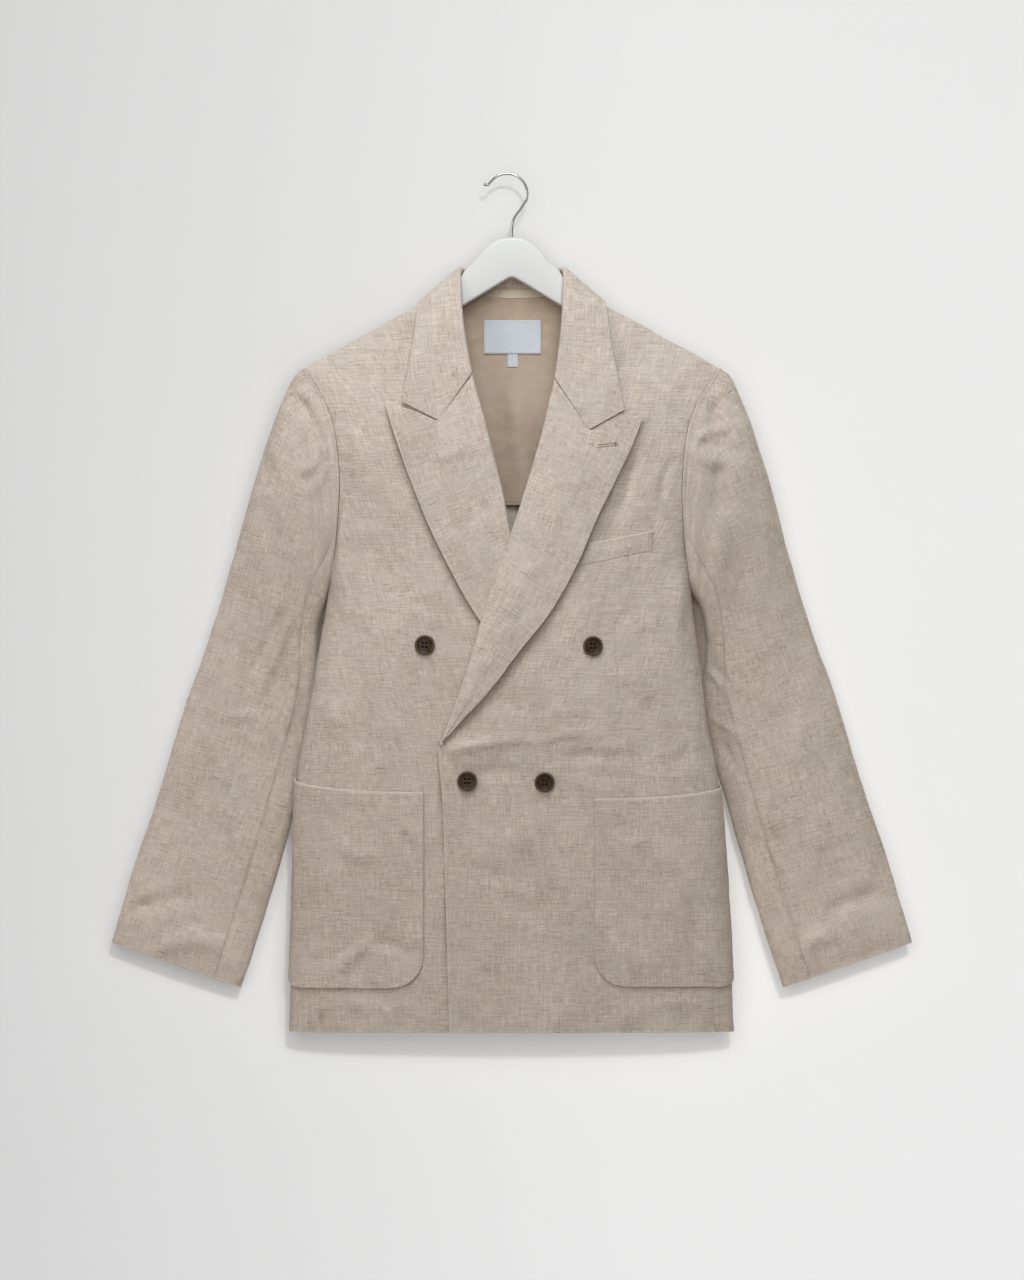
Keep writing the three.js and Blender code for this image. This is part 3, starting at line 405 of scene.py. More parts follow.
WIRE = 1.3
BEND_RADIUS = 21.3
BEND_X = -5.2
TIP_BALL = 2
BALL_RINGS = 10
BALL_SIDES = 24
HOOK_TIP = [(-28, -9.4), (-25.4, -9.9)]
HOOK_BEND = (142, -18)
HOOK_NECK = [(12.6, -29.5), (8.8, -35.6), (4.6, -41.2), (1.4, -47), (0, -54), (0, -60), (0, -72)]

# ---------------------------------------------------------------------------- creases
# Each crease runs from one point to another as seen from the front, in X and Z. Then come how far its middle
# bows to the left of that line, the half width, and the height: a ridge is positive and a trough negative.
FRONT_CREASES = [
    (-70, -603, 24, -594, 4, 7.6, 3.6),
    (-62, -618, 6, -626, -5, 8.5, -3.3),
    (24, -596, 92, -586, 5, 7.6, 2.0),
    (44, -613, 136, -612, 3, 6.8, -3),
    (52, -634, 128, -640, -4, 10.2, 1.7),
    (-22, -690, 22, -712, 5, 9.3, 3),
    (-38, -716, -2, -742, -4, 10.2, -2.7),
    (-12, -756, 24, -782, 4, 11, -2),
    (-56, -650, -40, -724, -6, 8.5, 2),
    (-20, -552, 30, -566, 5, 11.9, -2.2),
    (24, -520, 60, -566, -6, 11, 1.7),
    (-166, -270, -162, -330, 4, 8.5, 3),
    (-150, -380, -146, -440, 5, 12.8, -2.7),
    (-176, -356, -178, -462, -3, 11, 3.8),
    (-164, -505, -160, -606, 6, 11.9, -3),
    (-132, -470, -122, -560, -8, 11, 2),
    (-188, -560, -196, -622, 4, 8.5, 1.7),
    (-74, -470, -108, -450, 5, 7.6, 1.7),
    (-190, -840, -140, -802, 5, 7.6, 3.9),
    (-146, -800, -104, -830, 6, 11, -3),
    (-180, -700, -140, -716, -5, 11.9, 2),
    (-122, -680, -104, -742, 4, 10.2, -2),
    (-100, -790, -94, -850, 4, 8.5, 1.7),
    (152, -340, 160, -412, 5, 11, 2.2),
    (166, -300, 158, -352, -3, 6.8, -2.2),
    (176, -440, 182, -520, -4, 9.3, 2),
    (128, -440, 134, -520, 5, 12.8, -1.7),
    (92, -520, 150, -556, 6, 12.8, 1.7),
    (186, -600, 150, -620, 4, 8.5, -2),
    (120, -700, 176, -726, 6, 12.8, 2),
    (186, -752, 196, -820, 4, 12.8, -2.7),
    (110, -800, 160, -836, -6, 11.9, 2),
    (150, -868, 210, -872, 3, 7.6, 1.7),
    (-210, -872, -120, -876, 4, 7.6, 1.7),
    (-40, -800, -36, -884, 4, 11, 1.7),
    (30, -800, 44, -886, -5, 11.9, -1.7),
    (150, -160, 186, -196, 4, 10.2, -2),
    (96, -160, 130, -190, 4, 10.2, 1.7),
    (-176, -186, -136, -168, 5, 10.2, -1.7),
    (107, -146, 124, -250, 0, 10, -3.6),
    (-107, -146, -122, -240, 0, 10, -3.2),
    (131, -286, 98, -400, 0, 10, -3.2),
    (-124, -268, -104, -350, 0, 9, -2.6),
    (170, -376, 176, -470, 3, 11, 3.2),
]
BACK_CREASES = [
    (-166, -186, -84, -200, 8, 12.6, -2.8),
    (80, -196, 158, -180, 6, 12.6, -2.5),
    (-150, -166, -86, -172, -6, 9, 2.1),
    (-166, -270, -110, -330, 8, 12.6, 2.8),
    (160, -262, 104, -340, -9, 13.5, 2.8),
    (-150, -330, -126, -420, 6, 13.5, -2.8),
    (148, -340, 122, -436, -6, 12.6, -2.5),
    (-60, -400, -44, -560, 7, 16.2, 2.5),
    (52, -430, 40, -600, -8, 15.3, 2.5),
    (-20, -520, 70, -548, 6, 10.8, -2.1),
    (-110, -560, -10, -580, -6, 11.7, 2.5),
    (30, -590, 130, -566, 7, 10.8, 2.1),
    (-150, -600, -126, -760, 8, 16.2, -2.8),
    (140, -620, 128, -780, -7, 15.3, -2.5),
    (-70, -660, -84, -840, 6, 17.1, 2.5),
    (64, -680, 82, -860, -7, 16.2, 2.5),
    (-30, -720, -22, -880, 4, 14.4, -1.8),
]
# On the sleeves, seen from the front: the wearer's right one first.
RIGHT_SLEEVE_CREASES = [
    (-228, -230, -205, -280, 5, 10.5, -5.6),
    (-192, -286, -226, -312, 5, 5.6, 5.0),
    (-191, -302, -220, -336, 4, 5, 4.0),
    (-196, -276, -224, -290, -3, 4.5, -2.7),
    (-262, -292, -258, -388, 8, 12.6, -2.4),
    (-226, -438, -284, -572, 6, 7.2, 4.3),
    (-238, -452, -282, -530, 5, 6.3, -4),
    (-210, -362, -234, -470, 4, 8.1, -3.7),
    (-222, -500, -246, -600, 3, 7.2, 3),
    (-306, -572, -258, -570, 4, 7.2, 2.1),
    (-252, -590, -232, -640, -4, 7.2, -2.4),
    (-322, -600, -356, -700, 7, 13.5, -2.1),
    (-286, -640, -300, -730, -5, 12.6, 1.8),
    (-402, -770, -330, -762, 5, 11, -4.4),
    (-366, -806, -302, -812, 6, 13, 4.6),
    (-344, -776, -302, -800, -4, 6.3, -2.4),
    (-300, -820, -290, -852, 3, 7.2, 2.1),
    (-286, -330, -304, -452, 6, 13.5, 1.8),
]
LEFT_SLEEVE_CREASES = [
    (216, -232, 232, -296, -6, 13, -4.4),
    (193, -276, 228, -268, 3, 5.4, 5.0),
    (192, -292, 222, -304, -3, 5.4, 4.4),
    (193, -284, 222, -288, 2, 4, -2.7),
    (209, -306, 222, -356, 4, 13, -3.8),
    (206, -358, 222, -420, 4, 9, 2.7),
    (208, -520, 236, -566, 4, 5.4, 3.4),
    (214, -512, 246, -560, -3, 5.4, -3),
    (212, -570, 246, -604, 4, 5.4, 3),
    (220, -590, 250, -640, -4, 6.3, -2.4),
    (250, -420, 282, -560, -7, 12.6, 2.1),
    (276, -380, 306, -500, 6, 12.6, -1.8),
    (300, -560, 334, -690, -6, 13.5, 1.8),
    (284, -640, 300, -740, 5, 11.7, -1.8),
    (330, -770, 398, -758, 4, 11, -4.2),
    (304, -812, 352, -800, 5, 12, 4.6),
    (346, -742, 362, -762, 3, 8.1, 2.1),
    (330, -828, 398, -806, -3, 6.3, -1.8),
]
SLEEVE_BACK_CREASES = [
    (210, -330, 262, -320, 5, 8.1, 2.8),
    (214, -372, 268, -352, -5, 9, -2.5),
    (228, -430, 262, -560, 7, 10.8, 2.8),
    (262, -520, 330, -548, 6, 8.1, -2.8),
    (246, -560, 322, -584, 5, 8.1, 2.8),
    (286, -620, 330, -740, -7, 12.6, -2.5),
    (318, -640, 352, -770, 6, 11.7, 2.1),
    (310, -800, 380, -790, 5, 8.1, 2.5),
]
LAPEL_CREASES = [
    (-76, -300, -28, -282, 3, 8.5, 1.4),
    (-60, -372, -18, -352, 4, 10.2, -1.4),
    (46, -322, 96, -330, 4, 8.5, 1.2),
    (10, -420, 46, -400, -4, 10.2, 1.4),
    (-20, -480, 20, -452, 3, 8.5, -1.2),
]
# Each fine sewn line pressed into a front: heights and X at its two ends, the wearer's left one first.
DARTS = {1: (-440, -640, 106, 118.5), -1: (-430, -638, -112, -117)}
DART_DEPTH = 0.55
DART_WIDTH = 0.9
SHOULDER_SEAM_DROP = 9.5  # at the neck the shoulder seam lies this far in front of and below the ridge
DART_U = 0.34  # the share across a front that is drawn onto its dart

# ---------------------------------------------------------------------------- looks
COLOUR, NUMBER, VECTOR = "NodeSocketColor", "NodeSocketFloat", "NodeSocketVector"
# The size of each kind of unevenness in the linen, in millimetres: across, along, and in depth.
LINEN_GRAINS = {
    "warp": (0.95, 11, 10), "weft": (12, 0.95, 10), "warp streak": (1.8, 45, 10), "weft streak": (55, 1.7, 10),
    "blotch": (17, 21, 10), "cloud": (60, 80, 10), "fading": (44, 30, 47), "weft slub": (15, 0.9, 10),
    "warp slub": (1.0, 15, 31), "slub patch": (34, 30, 17),
}
HORN_GRAIN = (2.2, 6, 5)
WALL_GRAIN = (60, 60, 60)
WALL_PAINTED_SHADE_X = (-0.60, 0.14)  # the painted shade lightens from the first place to the second
THREAD_TURNS = 900.0  # for each metre
WALL_Y = 0.047
FLOOR_Z = -1.3
WALL_CORNERS = [(-6, WALL_Y, FLOOR_Z), (6, WALL_Y, FLOOR_Z), (6, WALL_Y, 5), (-6, WALL_Y, 5)]
FLOOR_CORNERS = [(-6, -9, FLOOR_Z), (6, -9, FLOOR_Z), (6, 3, FLOOR_Z), (-6, 3, FLOOR_Z)]
# Each light's name, place, what it is aimed at, size, power, colour, and what it lights.
LIGHTS = (
    ("key", (0.8, -9, 2.2), (0, 0, -0.48), 0.6, 60, (1.0, 0.965, 0.91), "everything"),
    ("broad", (0.1, -4.9, 0.75), (0, 0, -0.48), 2.4, 37, (1.0, 0.965, 0.91), "everything"),
    ("wall_key", (0.8, -9, 2.2), (0, 0, -0.48), 0.5, 118, (0.97, 0.985, 1.0), "wall"),
    ("wall_soft", (0, -4, -0.6), (0, 0, -0.48), 3.0, 68, (0.97, 0.985, 1.0), "wall"),
    ("wash", (0.2, -4.0, -0.9), (0, 0, -0.48), 2.0, 34, (0.97, 0.985, 1.0), "wall"),
    ("top", (-0.02, -1.15, 1.0), (0, 0, -0.3), 1.0, 24.5, (0.84, 0.93, 1.0), "all else"),
    ("side", (-3.2, -3.4, 0.3), (0, 0, -0.45), 1.5, 39, (1.0, 0.975, 0.94), "all else"),
    ("behind", (-0.8, 3.4, 0.8), (0, 0, -0.5), 2.0, 110, (1.0, 1.0, 1.0), "all else"),
)
CAMERA_AWAY = 8.0
VIEW_HEIGHT = 1.344
VIEW_MIDDLE_Z = -0.4877


def mix(a, b, t):
    return a + (b - a) * t


def smooth(t):
    t = np.clip(t, 0, 1)
    return t * t * (3 - 2 * t)


def signed_power(value, power):
    return np.sign(value) * np.abs(value) ** power


def unit(vectors):
    return vectors / np.maximum(np.linalg.norm(vectors, axis=-1, keepdims=True), 1e-12)


def look(rows, name, at):
    """A column at places along the key: the smooth cubic through its rows, held level past the ends."""
    key, value = rows["key"], rows[name]
    at = np.clip(at, key[0], key[-1])
    slope = np.gradient(value, key)
    slope[1:-1] = (value[2:] - value[:-2]) / (key[2:] - key[:-2])
    i = np.clip(np.searchsorted(key, at, side="right") - 1, 0, len(key) - 2)
    step = key[i + 1] - key[i]
    t = (at - key[i]) / step
    keep = (1 + 2 * t) * (1 - t) ** 2
    bend = t * (1 - t) ** 2 * slope[i] - t * t * (1 - t) * slope[i + 1]
    return keep * value[i] + (1 - keep) * value[i + 1] + step * bend


def vector(rows, at, names="x y z"):
    return np.stack([look(rows, name, at) for name in names.split()], -1)


# ---------------------------------------------------------------------------- the form
def ridge_height(x):
    return NECK_Z - SHOULDER_SLOPE * (np.abs(x) - NECK_X)


def back_top(x):
    share = np.abs(x) / NECK_X
    return np.where(share < 1, mix(NECK_BACK_Z, NECK_Z, share**2), ridge_height(x))


def depth_below_ridge(drop, full, fall):
    """A quarter round over the hanger's arm, then a fall to the full depth."""
    rounded = np.sqrt(1 - (1 - np.clip(drop / RIDGE, 0, 1)) ** 2)
    fallen = 1 - (1 - np.clip(drop / fall, 0, 1)) ** 2
    return RIDGE * rounded + (full - RIDGE) * fallen


def form_point(side, angle, z):
    """A point of the body's ring at a height: a superellipse whose depth runs out at the shoulder ridge."""
    turn = np.radians(angle)
    power = 2 / RING_POWER
    x = look(BODY, "shift", z) + side * look(BODY, "half", z) * signed_power(np.cos(turn), power)
    drop = np.maximum(0, ridge_height(x) - z)
    front = depth_below_ridge(drop, look(BODY, "front", z), FRONT_FALL)
    back = depth_below_ridge(drop, look(BODY, "back", z), BACK_FALL)
    depth = np.where(angle >= 0, front, back)
    y = look(BODY, "side", z) - depth * signed_power(np.sin(turn), power)
    return np.stack(np.broadcast_arrays(x, y, z), -1)


def angle_at(side, x, z, face):
    share = side * (x - look(BODY, "shift", z)) / look(BODY, "half", z)
    return face * np.degrees(np.arccos(signed_power(np.clip(share, -1, 1), RING_POWER / 2)))


def lap_lift(side, x, z):
    if side < 0:
        return np.zeros(np.broadcast(x, z).shape)
    return look(LAP, "lift", z) * smooth((LAP_NONE_X - x) / (LAP_NONE_X - LAP_FULL_X))


def front_face(side, x, z):
    point = form_point(side, angle_at(side, x, z, 1), z)
    point[..., 1] -= lap_lift(side, x, z)
    return point


def back_face(x, z):
    return form_point(1, angle_at(1, x, z, -1), z)


def front_normal(side, x, z):
    across = front_face(side, x + 0.5, z) - front_face(side, x - 0.5, z)
    up = front_face(side, x, z + 0.5) - front_face(side, x, z - 0.5)
    return unit(np.cross(across, up))


# ---------------------------------------------------------------------------- relief
def unevenness(x, z):
    """The slight waviness of pressed linen: twelve sine waves, each a golden angle round from the last and
    a seventh shorter, with a height in step with its length."""
    total = np.zeros(np.broadcast(x, z).shape)
    for k in range(12):
        length = 74 * 0.86**k
        turn = math.radians(137.5 * k + 20)
        along = x * math.cos(turn) + z * math.sin(turn)
        bowed = along + 9 * np.sin((x * math.sin(turn) - z * math.cos(turn)) / 47 + k)
        total += 0.0023 * length * np.sin(2 * math.pi * bowed / length + 1.7 * k)
    return total


def creases(x, z, rows):
    """Soft ridges and troughs along bowed lines. Across a line the height is a bell with a shallow dip on
    either side. Along it the height rises quickly, swells unevenly and dies away slowly."""
    total = np.zeros(np.broadcast(x, z).shape)
    for number, (x0, z0, x1, z1, bow, width, height) in enumerate(rows):
        length = math.hypot(x1 - x0, z1 - z0)
        ex, ez = (x1 - x0) / length, (z1 - z0) / length
        s = ((x - x0) * ex + (z - z0) * ez) / length
        off = (z - z0) * ex - (x - x0) * ez - bow * 4 * s * (1 - s)
        off += 0.18 * width * np.sin(5 * s + number)
        q = (off / (width * (0.75 + 0.4 * smooth(s)))) ** 2
        across = (1 - 0.35 * q) * np.exp(-q)
        swell = 1 + 0.22 * np.sin(7 * s + 2 * number)
        total += height * across * swell * smooth((s + 0.12) / 0.34) * smooth((1.12 - s) / 0.46)
    return total


def bell(distance, width):
    return np.exp(-((distance / width) ** 2))


def groove(distance, depth, width):
    return -depth * bell(distance, width)


def body_relief(settings, points, normals):
    """How far the body's cloth stands out along its normals."""
    x, z = points[..., 0], points[..., 2]
    forward = smooth(0.25 - normals[..., 1])
    backward = smooth(0.25 + normals[..., 1])
    folds = forward * creases(x, z, FRONT_CREASES) + backward * creases(x, z, BACK_CREASES)
    drawn_in = 2.4 * smooth((np.abs(x) - 196) / 30) * bell(z + 745, 95)
    return settings.crease_depth * (folds + unevenness(x, z)) - drawn_in


def front_relief(settings, x, z):
    """The same at points of the front, for what lies on it."""
    return settings.crease_depth * (creases(x, z, FRONT_CREASES) + unevenness(x, z))


# ---------------------------------------------------------------------------- panels
def along(values, at):
    return np.interp(at, np.arange(len(values)), values)


def front_edge_x(side, z):
    fold = FOLD_LEFT if side > 0 else FOLD_RIGHT
    inset = FOLD_INSET * smooth((z - BREAK_FOOT) / (BREAK_TOP - BREAK_FOOT))
    gorge_x = abs(look(fold, "x", GORGE_Z)) + FOLD_INSET
    neck = side * mix(NECK_X, gorge_x, np.clip((NECK_Z - z) / (NECK_Z - GORGE_Z), 0, 1))
    return np.where(z < GORGE_Z, look(fold, "x", z) + side * inset, neck)


def row_point(side, inner, outer, share, bend, top):
    """A point of a row from its inner to its outer end, which bends with the panel's top edge."""
    angle = mix(inner[0], outer[0], share)
    level = mix(inner[1], outer[1], share)
    ends = [top(form_point(side, a, z)[..., 0]) for a, z in (inner, outer)]
    straight = mix(ends[0], ends[1], share)
    z = level
    for _ in range(5):
        z = level + bend * (top(form_point(side, angle, z)[..., 0]) - straight)
    return form_point(side, angle, z)


def row_ends(turns, heights, seam, v):
    """The height at which each row begins, and the angle and height at which it ends: on the armhole for
    the upper rows, and on the side seam for the others."""
    arm = len(turns) - 1
    above, turn = v <= arm, along(turns, v)
    inner_z = np.where(above, along(heights, v), along([heights[-1], *SEAM_HEIGHTS], v - arm))
    angle = np.where(above, look(ARMHOLE, "angle", turn), look(seam, "angle", inner_z))
    return inner_z, (angle, np.where(above, look(ARMHOLE, "z", turn), inner_z))


def dart_x(side, z):
    top, foot, x0, x1 = DARTS[side]
    return mix(x0, x1, np.clip((top - z) / (top - foot), 0, 1))


def front_point(side, u, v):
    """Rows run from the front's inner edge to the armhole, and below that to the side seam. A third of the
    way along, u is drawn onto the line of the dart."""
    inner_z, outer = row_ends(FRONT_TURNS, FRONT_HEIGHTS, FRONT_SEAM, v)
    inner = (angle_at(side, front_edge_x(side, inner_z), inner_z, 1), inner_z)
    dart = (angle_at(side, dart_x(side, inner_z), inner_z, 1) - inner[0]) / (outer[0] - inner[0])
    dart = mix(DART_U, np.clip(dart, 0.2, 0.85), smooth((v - 6) / 3))
    u = np.where(u < DART_U, u * dart / DART_U, 1 - (1 - u) * (1 - dart) / (1 - DART_U))
    point = row_point(side, inner, outer, u, 1 - smooth(v / (FRONT_ARM_ROWS - STRAIGHT_ROWS)), ridge_height)
    point[..., 1] -= lap_lift(side, point[..., 0], point[..., 2])
    return point


def side_point(side, turn, v):
    share = (turn - FRONT_SEAM_TURN) / (BACK_SEAM_TURN - FRONT_SEAM_TURN)
    top_angle, top_z = look(ARMHOLE, "angle", turn), look(ARMHOLE, "z", turn)
    z = np.where(v < 1, mix(top_z, SEAM_HEIGHTS[0], v), along(SEAM_HEIGHTS, v - 1))
    seams = mix(look(FRONT_SEAM, "angle", z), look(BACK_SEAM, "angle", z), share)
    return form_point(side, mix(top_angle, seams, smooth(v)), z)


def back_point(side, u, v):
    inner_z, outer = row_ends(BACK_TURNS, BACK_HEIGHTS, BACK_SEAM, v)
    inner = (angle_at(side, look(BODY, "shift", inner_z), inner_z, -1), inner_z)
    return row_point(side, inner, outer, u, 1 - smooth(v / (BACK_ARM_ROWS - STRAIGHT_ROWS)), back_top)


def ring_point(side, turn, ring):
    """A point of the sleeve's own rings. turn is 0 at the outer edge, 90 in front and 180 at the inner edge."""
    row = {name: look(SLEEVE, name, ring) for name in SLEEVE if name != "key"}
    share = signed_power(np.cos(np.radians(turn)), SLEEVE_POWER)
    depth = signed_power(np.sin(np.radians(turn)), SLEEVE_POWER)
    x = (row["outerX"] + row["innerX"]) / 2 + (row["outerX"] - row["innerX"]) / 2 * share
    x = x - row["bow"] * (1 - share**2)
    # Its hind inner part fills the space beside the body's back.
    behind = smooth(-1.6 * share) * smooth(-1.6 * depth)
    x = x - SLEEVE_FILL * behind * smooth((ring - 1.9) / 1.2) * smooth((7.8 - ring) / 1.6)
    z = mix(row["innerZ"], row["outerZ"], (share + 1) / 2)
    y = row["middle"] - depth * np.where(depth > 0, row["front"], row["back"])
    return np.stack(np.broadcast_arrays(side * x, y, z), -1)


def sleeve_point(side, turn, ring):
    """The sleeve starts on the armhole and takes its own section within a few rings."""
    turn = turn % 360
    armhole = form_point(side, look(ARMHOLE, "angle", turn), look(ARMHOLE, "z", turn))
    gap = armhole - ring_point(side, turn, 0)
    return ring_point(side, turn, ring) + gap * (1 - smooth(ring / HEAD_RINGS))[..., None]


def lapel_point(side, u, v):
    """u from -1 to 1 goes round the fold, from 1 to 1.5 out to the notch, and on to the edge at 2."""
    edges, notch = (LAPEL_LEFT, NOTCH_LEFT) if side > 0 else (LAPEL_RIGHT, NOTCH_RIGHT)
    folds = FOLD_LEFT if side > 0 else FOLD_RIGHT

    def fold_at(row):
        z = look(edges, "fold", row)
        return np.stack([look(folds, "x", z), z], -1)

    fold, edge = fold_at(v), vector(edges, v, "x z")
    top = (fold_at(np.zeros(1)) + vector(edges, np.zeros(1), "x z"))[0] / 2
    dip = (np.array(notch) - top) * np.clip(1 - v / NOTCH_ROWS, 0, 1)[..., None] ** 2
    bend = (fold + edge) / 2 + dip
    turn = np.minimum(u, 1) * math.pi / 2
    out = np.clip(u - 1, 0, 1)[..., None]
    place = fold + unit(bend - fold) * (FOLD_RADIUS * (1 - np.cos(turn)))[..., None]
    place = np.where(out > 0, mix(place, bend, np.clip(out * 2, 0, 1)), place)
    place = np.where(out > 0.5, mix(bend, edge, out * 2 - 1), place)
    flat = mix(LAPEL_EDGE, ROLL, (1 - out[..., 0]) ** 2)
    height = np.where(u > 1, flat, FOLD_RADIUS * np.sin(turn) + FOLD_RADIUS - CLOTH)
    point = front_face(side, place[..., 0], place[..., 1])
    point[..., 1] -= height + lapel_spring(side, out[..., 0], u, v)
    return point


def lapel_spring(side, out, u, v):
    """How far the lapel springs up between its roll and its edge. It lies flat where it is sewn to the
    collar and where it runs out at the break, or under the other lapel."""
    end = 10.8 if side > 0 else 7.6
    sewn = np.maximum(smooth(v / 2.2), smooth((u - 1.45) / 0.2))
    bowed = LAPEL_SPRING * smooth(out * 1.4) + ROLL_SPRING * np.sin(math.pi * np.clip(out * 1.5, 0, 1))
    return bowed * sewn * smooth((end - v) / 2.4)


def collar_line(rows, row):
    side = np.where(row < 0, -1, 1)
    at = COLLAR_ROWS - np.abs(row)
    lift = np.where(side < 0, 1 - smooth(at / RIGHT_COLLAR["rows"]), 0)
    x = side * (look(rows, "x", at) - RIGHT_COLLAR["dx"] * lift)
    raised = RIGHT_COLLAR["edge_dz" if rows is COLLAR_EDGE else "dz"] * lift
    return np.stack([x, look(rows, "y", at), look(rows, "z", at) + raised], -1)


def collar_edge(row):
    """The edge runs straight from the notch to the leaf's corner, and then up and round the neck."""
    at = COLLAR_ROWS - np.abs(row)
    edge = collar_line(COLLAR_EDGE, row)
    for side, notch in ((1, NOTCH_LEFT), (-1, NOTCH_RIGHT)):
        start = front_face(side, np.array(notch[0]), np.array(notch[1] + CLEAR)) - [0, LAPEL_EDGE, 0]
        corner = collar_line(COLLAR_EDGE, np.array(side * (COLLAR_ROWS - 1.0)))
        inside = ((at < 1) & (row * side > 0))[..., None]
        edge = np.where(inside, mix(start, corner, at[..., None]), edge)
    return edge


def collar_point(u, row):
    """u from 0 to 1 climbs the stand, from 1 to 3 goes round the crease and from 3 to 4 falls to the edge."""
    crease, edge, seam = collar_line(COLLAR_CREASE, row), collar_edge(row), collar_line(COLLAR_SEAM, row)
    later = collar_line(COLLAR_CREASE, np.minimum(row + 0.02, COLLAR_ROWS))
    earlier = collar_line(COLLAR_CREASE, np.maximum(row - 0.02, -COLLAR_ROWS))
    stand = smooth((COLLAR_ROWS - np.abs(row)) / STAND_ROWS)[..., None]
    down = unit(unit(edge - crease) + stand * unit(seam - crease))
    out = unit(np.cross(later - earlier, down))
    turn = ((np.clip(u, 1, 3) - 2) * math.pi / 2)[..., None]
    rounded = crease + FOLD_RADIUS * (down * (1 - np.cos(turn)) + out * np.sin(turn))
    u = u[..., None]
    point = np.where(u < 1, mix(seam, rounded, u), np.where(u > 3, mix(rounded, edge, u - 3), rounded))
    free = smooth((COLLAR_ROWS - 0.5 - np.abs(row)) / 1.5) * smooth((np.abs(row) - 5.2) / 2.2)
    for side in (1, -1):
        rest = front_face(side, point[..., 0], point[..., 2])[..., 1] - FACING - CLEAR
        resting = (u[..., 0] >= 3) & (point[..., 2] < FRONT_REST_Z) & (row * side > 0)
        point[..., 1] = np.where(resting, np.minimum(point[..., 1], rest), point[..., 1])
    point[..., 1] -= COLLAR_SPRING * smooth(u[..., 0] - 3) * free
    return point


def pocket_corner(side, v):
    """How far the round corners come in at each place on the way down."""
    size = POCKETS[side]
    drop = np.clip(1 - (1 - v) * (size["mouth"] - size["bottom"]) / POCKET_CORNER, 0, 1)
    return POCKET_CORNER * (1 - np.sqrt(1 - drop**2))


def pocket_point(side, u, v):
    """u walks along the front's ring from the pocket's inner to its outer edge, and v goes from its mouth to
    its bottom, whose two corners are round."""
    size = POCKETS[side]
    z = mix(mix(size["mouth"], size["outer_mouth"], u**POCKET_RISE), size["bottom"], v)
    corner = pocket_corner(side, v)
    inner = angle_at(side, side * size["inner"], z, 1)
    share = np.linspace(0, 1, 121)
    angle = mix(inner[..., None], POCKET_OUTER_ANGLE, share)
    level = np.broadcast_to(z[..., None], angle.shape)
    walk = form_point(side, angle, level)
    tangent = form_point(side, angle + 0.5, level) - form_point(side, angle - 0.5, level)
    away = unit(np.stack([-side * tangent[..., 1], side * tangent[..., 0], 0 * angle], -1))
    walk[..., 1] -= np.where(angle > 0, lap_lift(side, walk[..., 0], level), 0)
    walk += away * (POCKET_CLEAR + CLOTH)
    run = running(np.linalg.norm(np.diff(walk, axis=-2), axis=-1))
    wanted = mix(corner, run[..., -1] - corner, u)
    i = np.clip((run < wanted[..., None]).sum(-1) - 1, 0, len(share) - 2)[..., None]
    before, after = np.take_along_axis(run, i, -1), np.take_along_axis(run, i + 1, -1)
    low, high = (np.take_along_axis(walk, k[..., None], -2)[..., 0, :] for k in (i, i + 1))
    return mix(low, high, (wanted[..., None] - before) / (after - before))


def welt_point(u, v):
    """The welt lies on the front, and sinks to it where it is sewn in along its foot."""
    x = mix(mix(WELT["inner_top"], WELT["inner_foot"], v), WELT["outer"], u)
    z = mix(WELT["top_inner"], WELT["top_outer"], u) - v * mix(WELT["inner_depth"], WELT["outer_depth"], u)
    lift = (CLEAR + CLOTH) * (1 - 0.75 * smooth(2 * v - 1))
    return front_face(1, x, z) + front_normal(1, x, z) * lift[..., None]


def inside_point(settings, x, z, inset):
    """A point inside the back, which gives way where a crease of the back comes in."""
    point = back_face(x, z)
    crease = settings.crease_depth * (creases(x, z, BACK_CREASES) + unevenness(x, z))
    point[..., 1] -= CLOTH + inset - np.minimum(crease, 0)
    return point


def lining_point(settings, u, v):
    """The lining hangs from the neck seam in soft vertical folds that grow towards its hem."""
    x = u * mix(LINING["half_top"], LINING["half_hem"], smooth(v * 1.6))
    z = mix(back_top(u * LINING["half_top"]) - LINING["below"], LINING["hem"], v)
    lean = x + 0.10 * (z - LABEL["bottom"])
    waves = 0.5 + 0.38 * np.cos((lean - 2) / 12) + 0.12 * np.sin(lean / 7 + 2)
    grown = smooth((LABEL["bottom"] - z) / 90)
    return inside_point(settings, x, z, LINING["inset"] + LINING["folds"] * waves * grown)


def loop_point(u, v):
    point = collar_point(mix(LOOP["low"], LOOP["high"], v), mix(LOOP["right_row"], LOOP["left_row"], u))
    point[..., 1] -= CLEAR + LOOP["thickness"]
    return point


def tab_point(settings, size, u, v):
    bow = 0.5 * np.sin(math.pi * u) * (1 - v)
    x, z = mix(size["left"], size["right"], u), mix(size["top"], size["bottom"], v)
    return inside_point(settings, x, z, size["inset"] + bow)


def sleeve_relief(settings, side, turn, ring, points, normals, seam):
    """How far a sleeve's cloth stands out: its creases, a roll over its head, and its forearm seam."""
    x, z = points[..., 0], points[..., 2]
    rows = LEFT_SLEEVE_CREASES if side > 0 else RIGHT_SLEEVE_CREASES
    forward = smooth(0.3 - normals[..., 1])
    backward = smooth(0.3 + normals[..., 1])
    folds = forward * creases(x, z, rows) + backward * creases(side * x, z, SLEEVE_BACK_CREASES)
    relief = settings.crease_depth * (folds + unevenness(x + 300, z + 50 * side)) * smooth(ring / 0.3)
    head = smooth((120 - np.abs((turn + 180) % 360 - 180 - 30)) / 60)
    return relief + head * bell(ring * 45 - 5, 7) * smooth(ring / 0.04) + 0.7 * seam


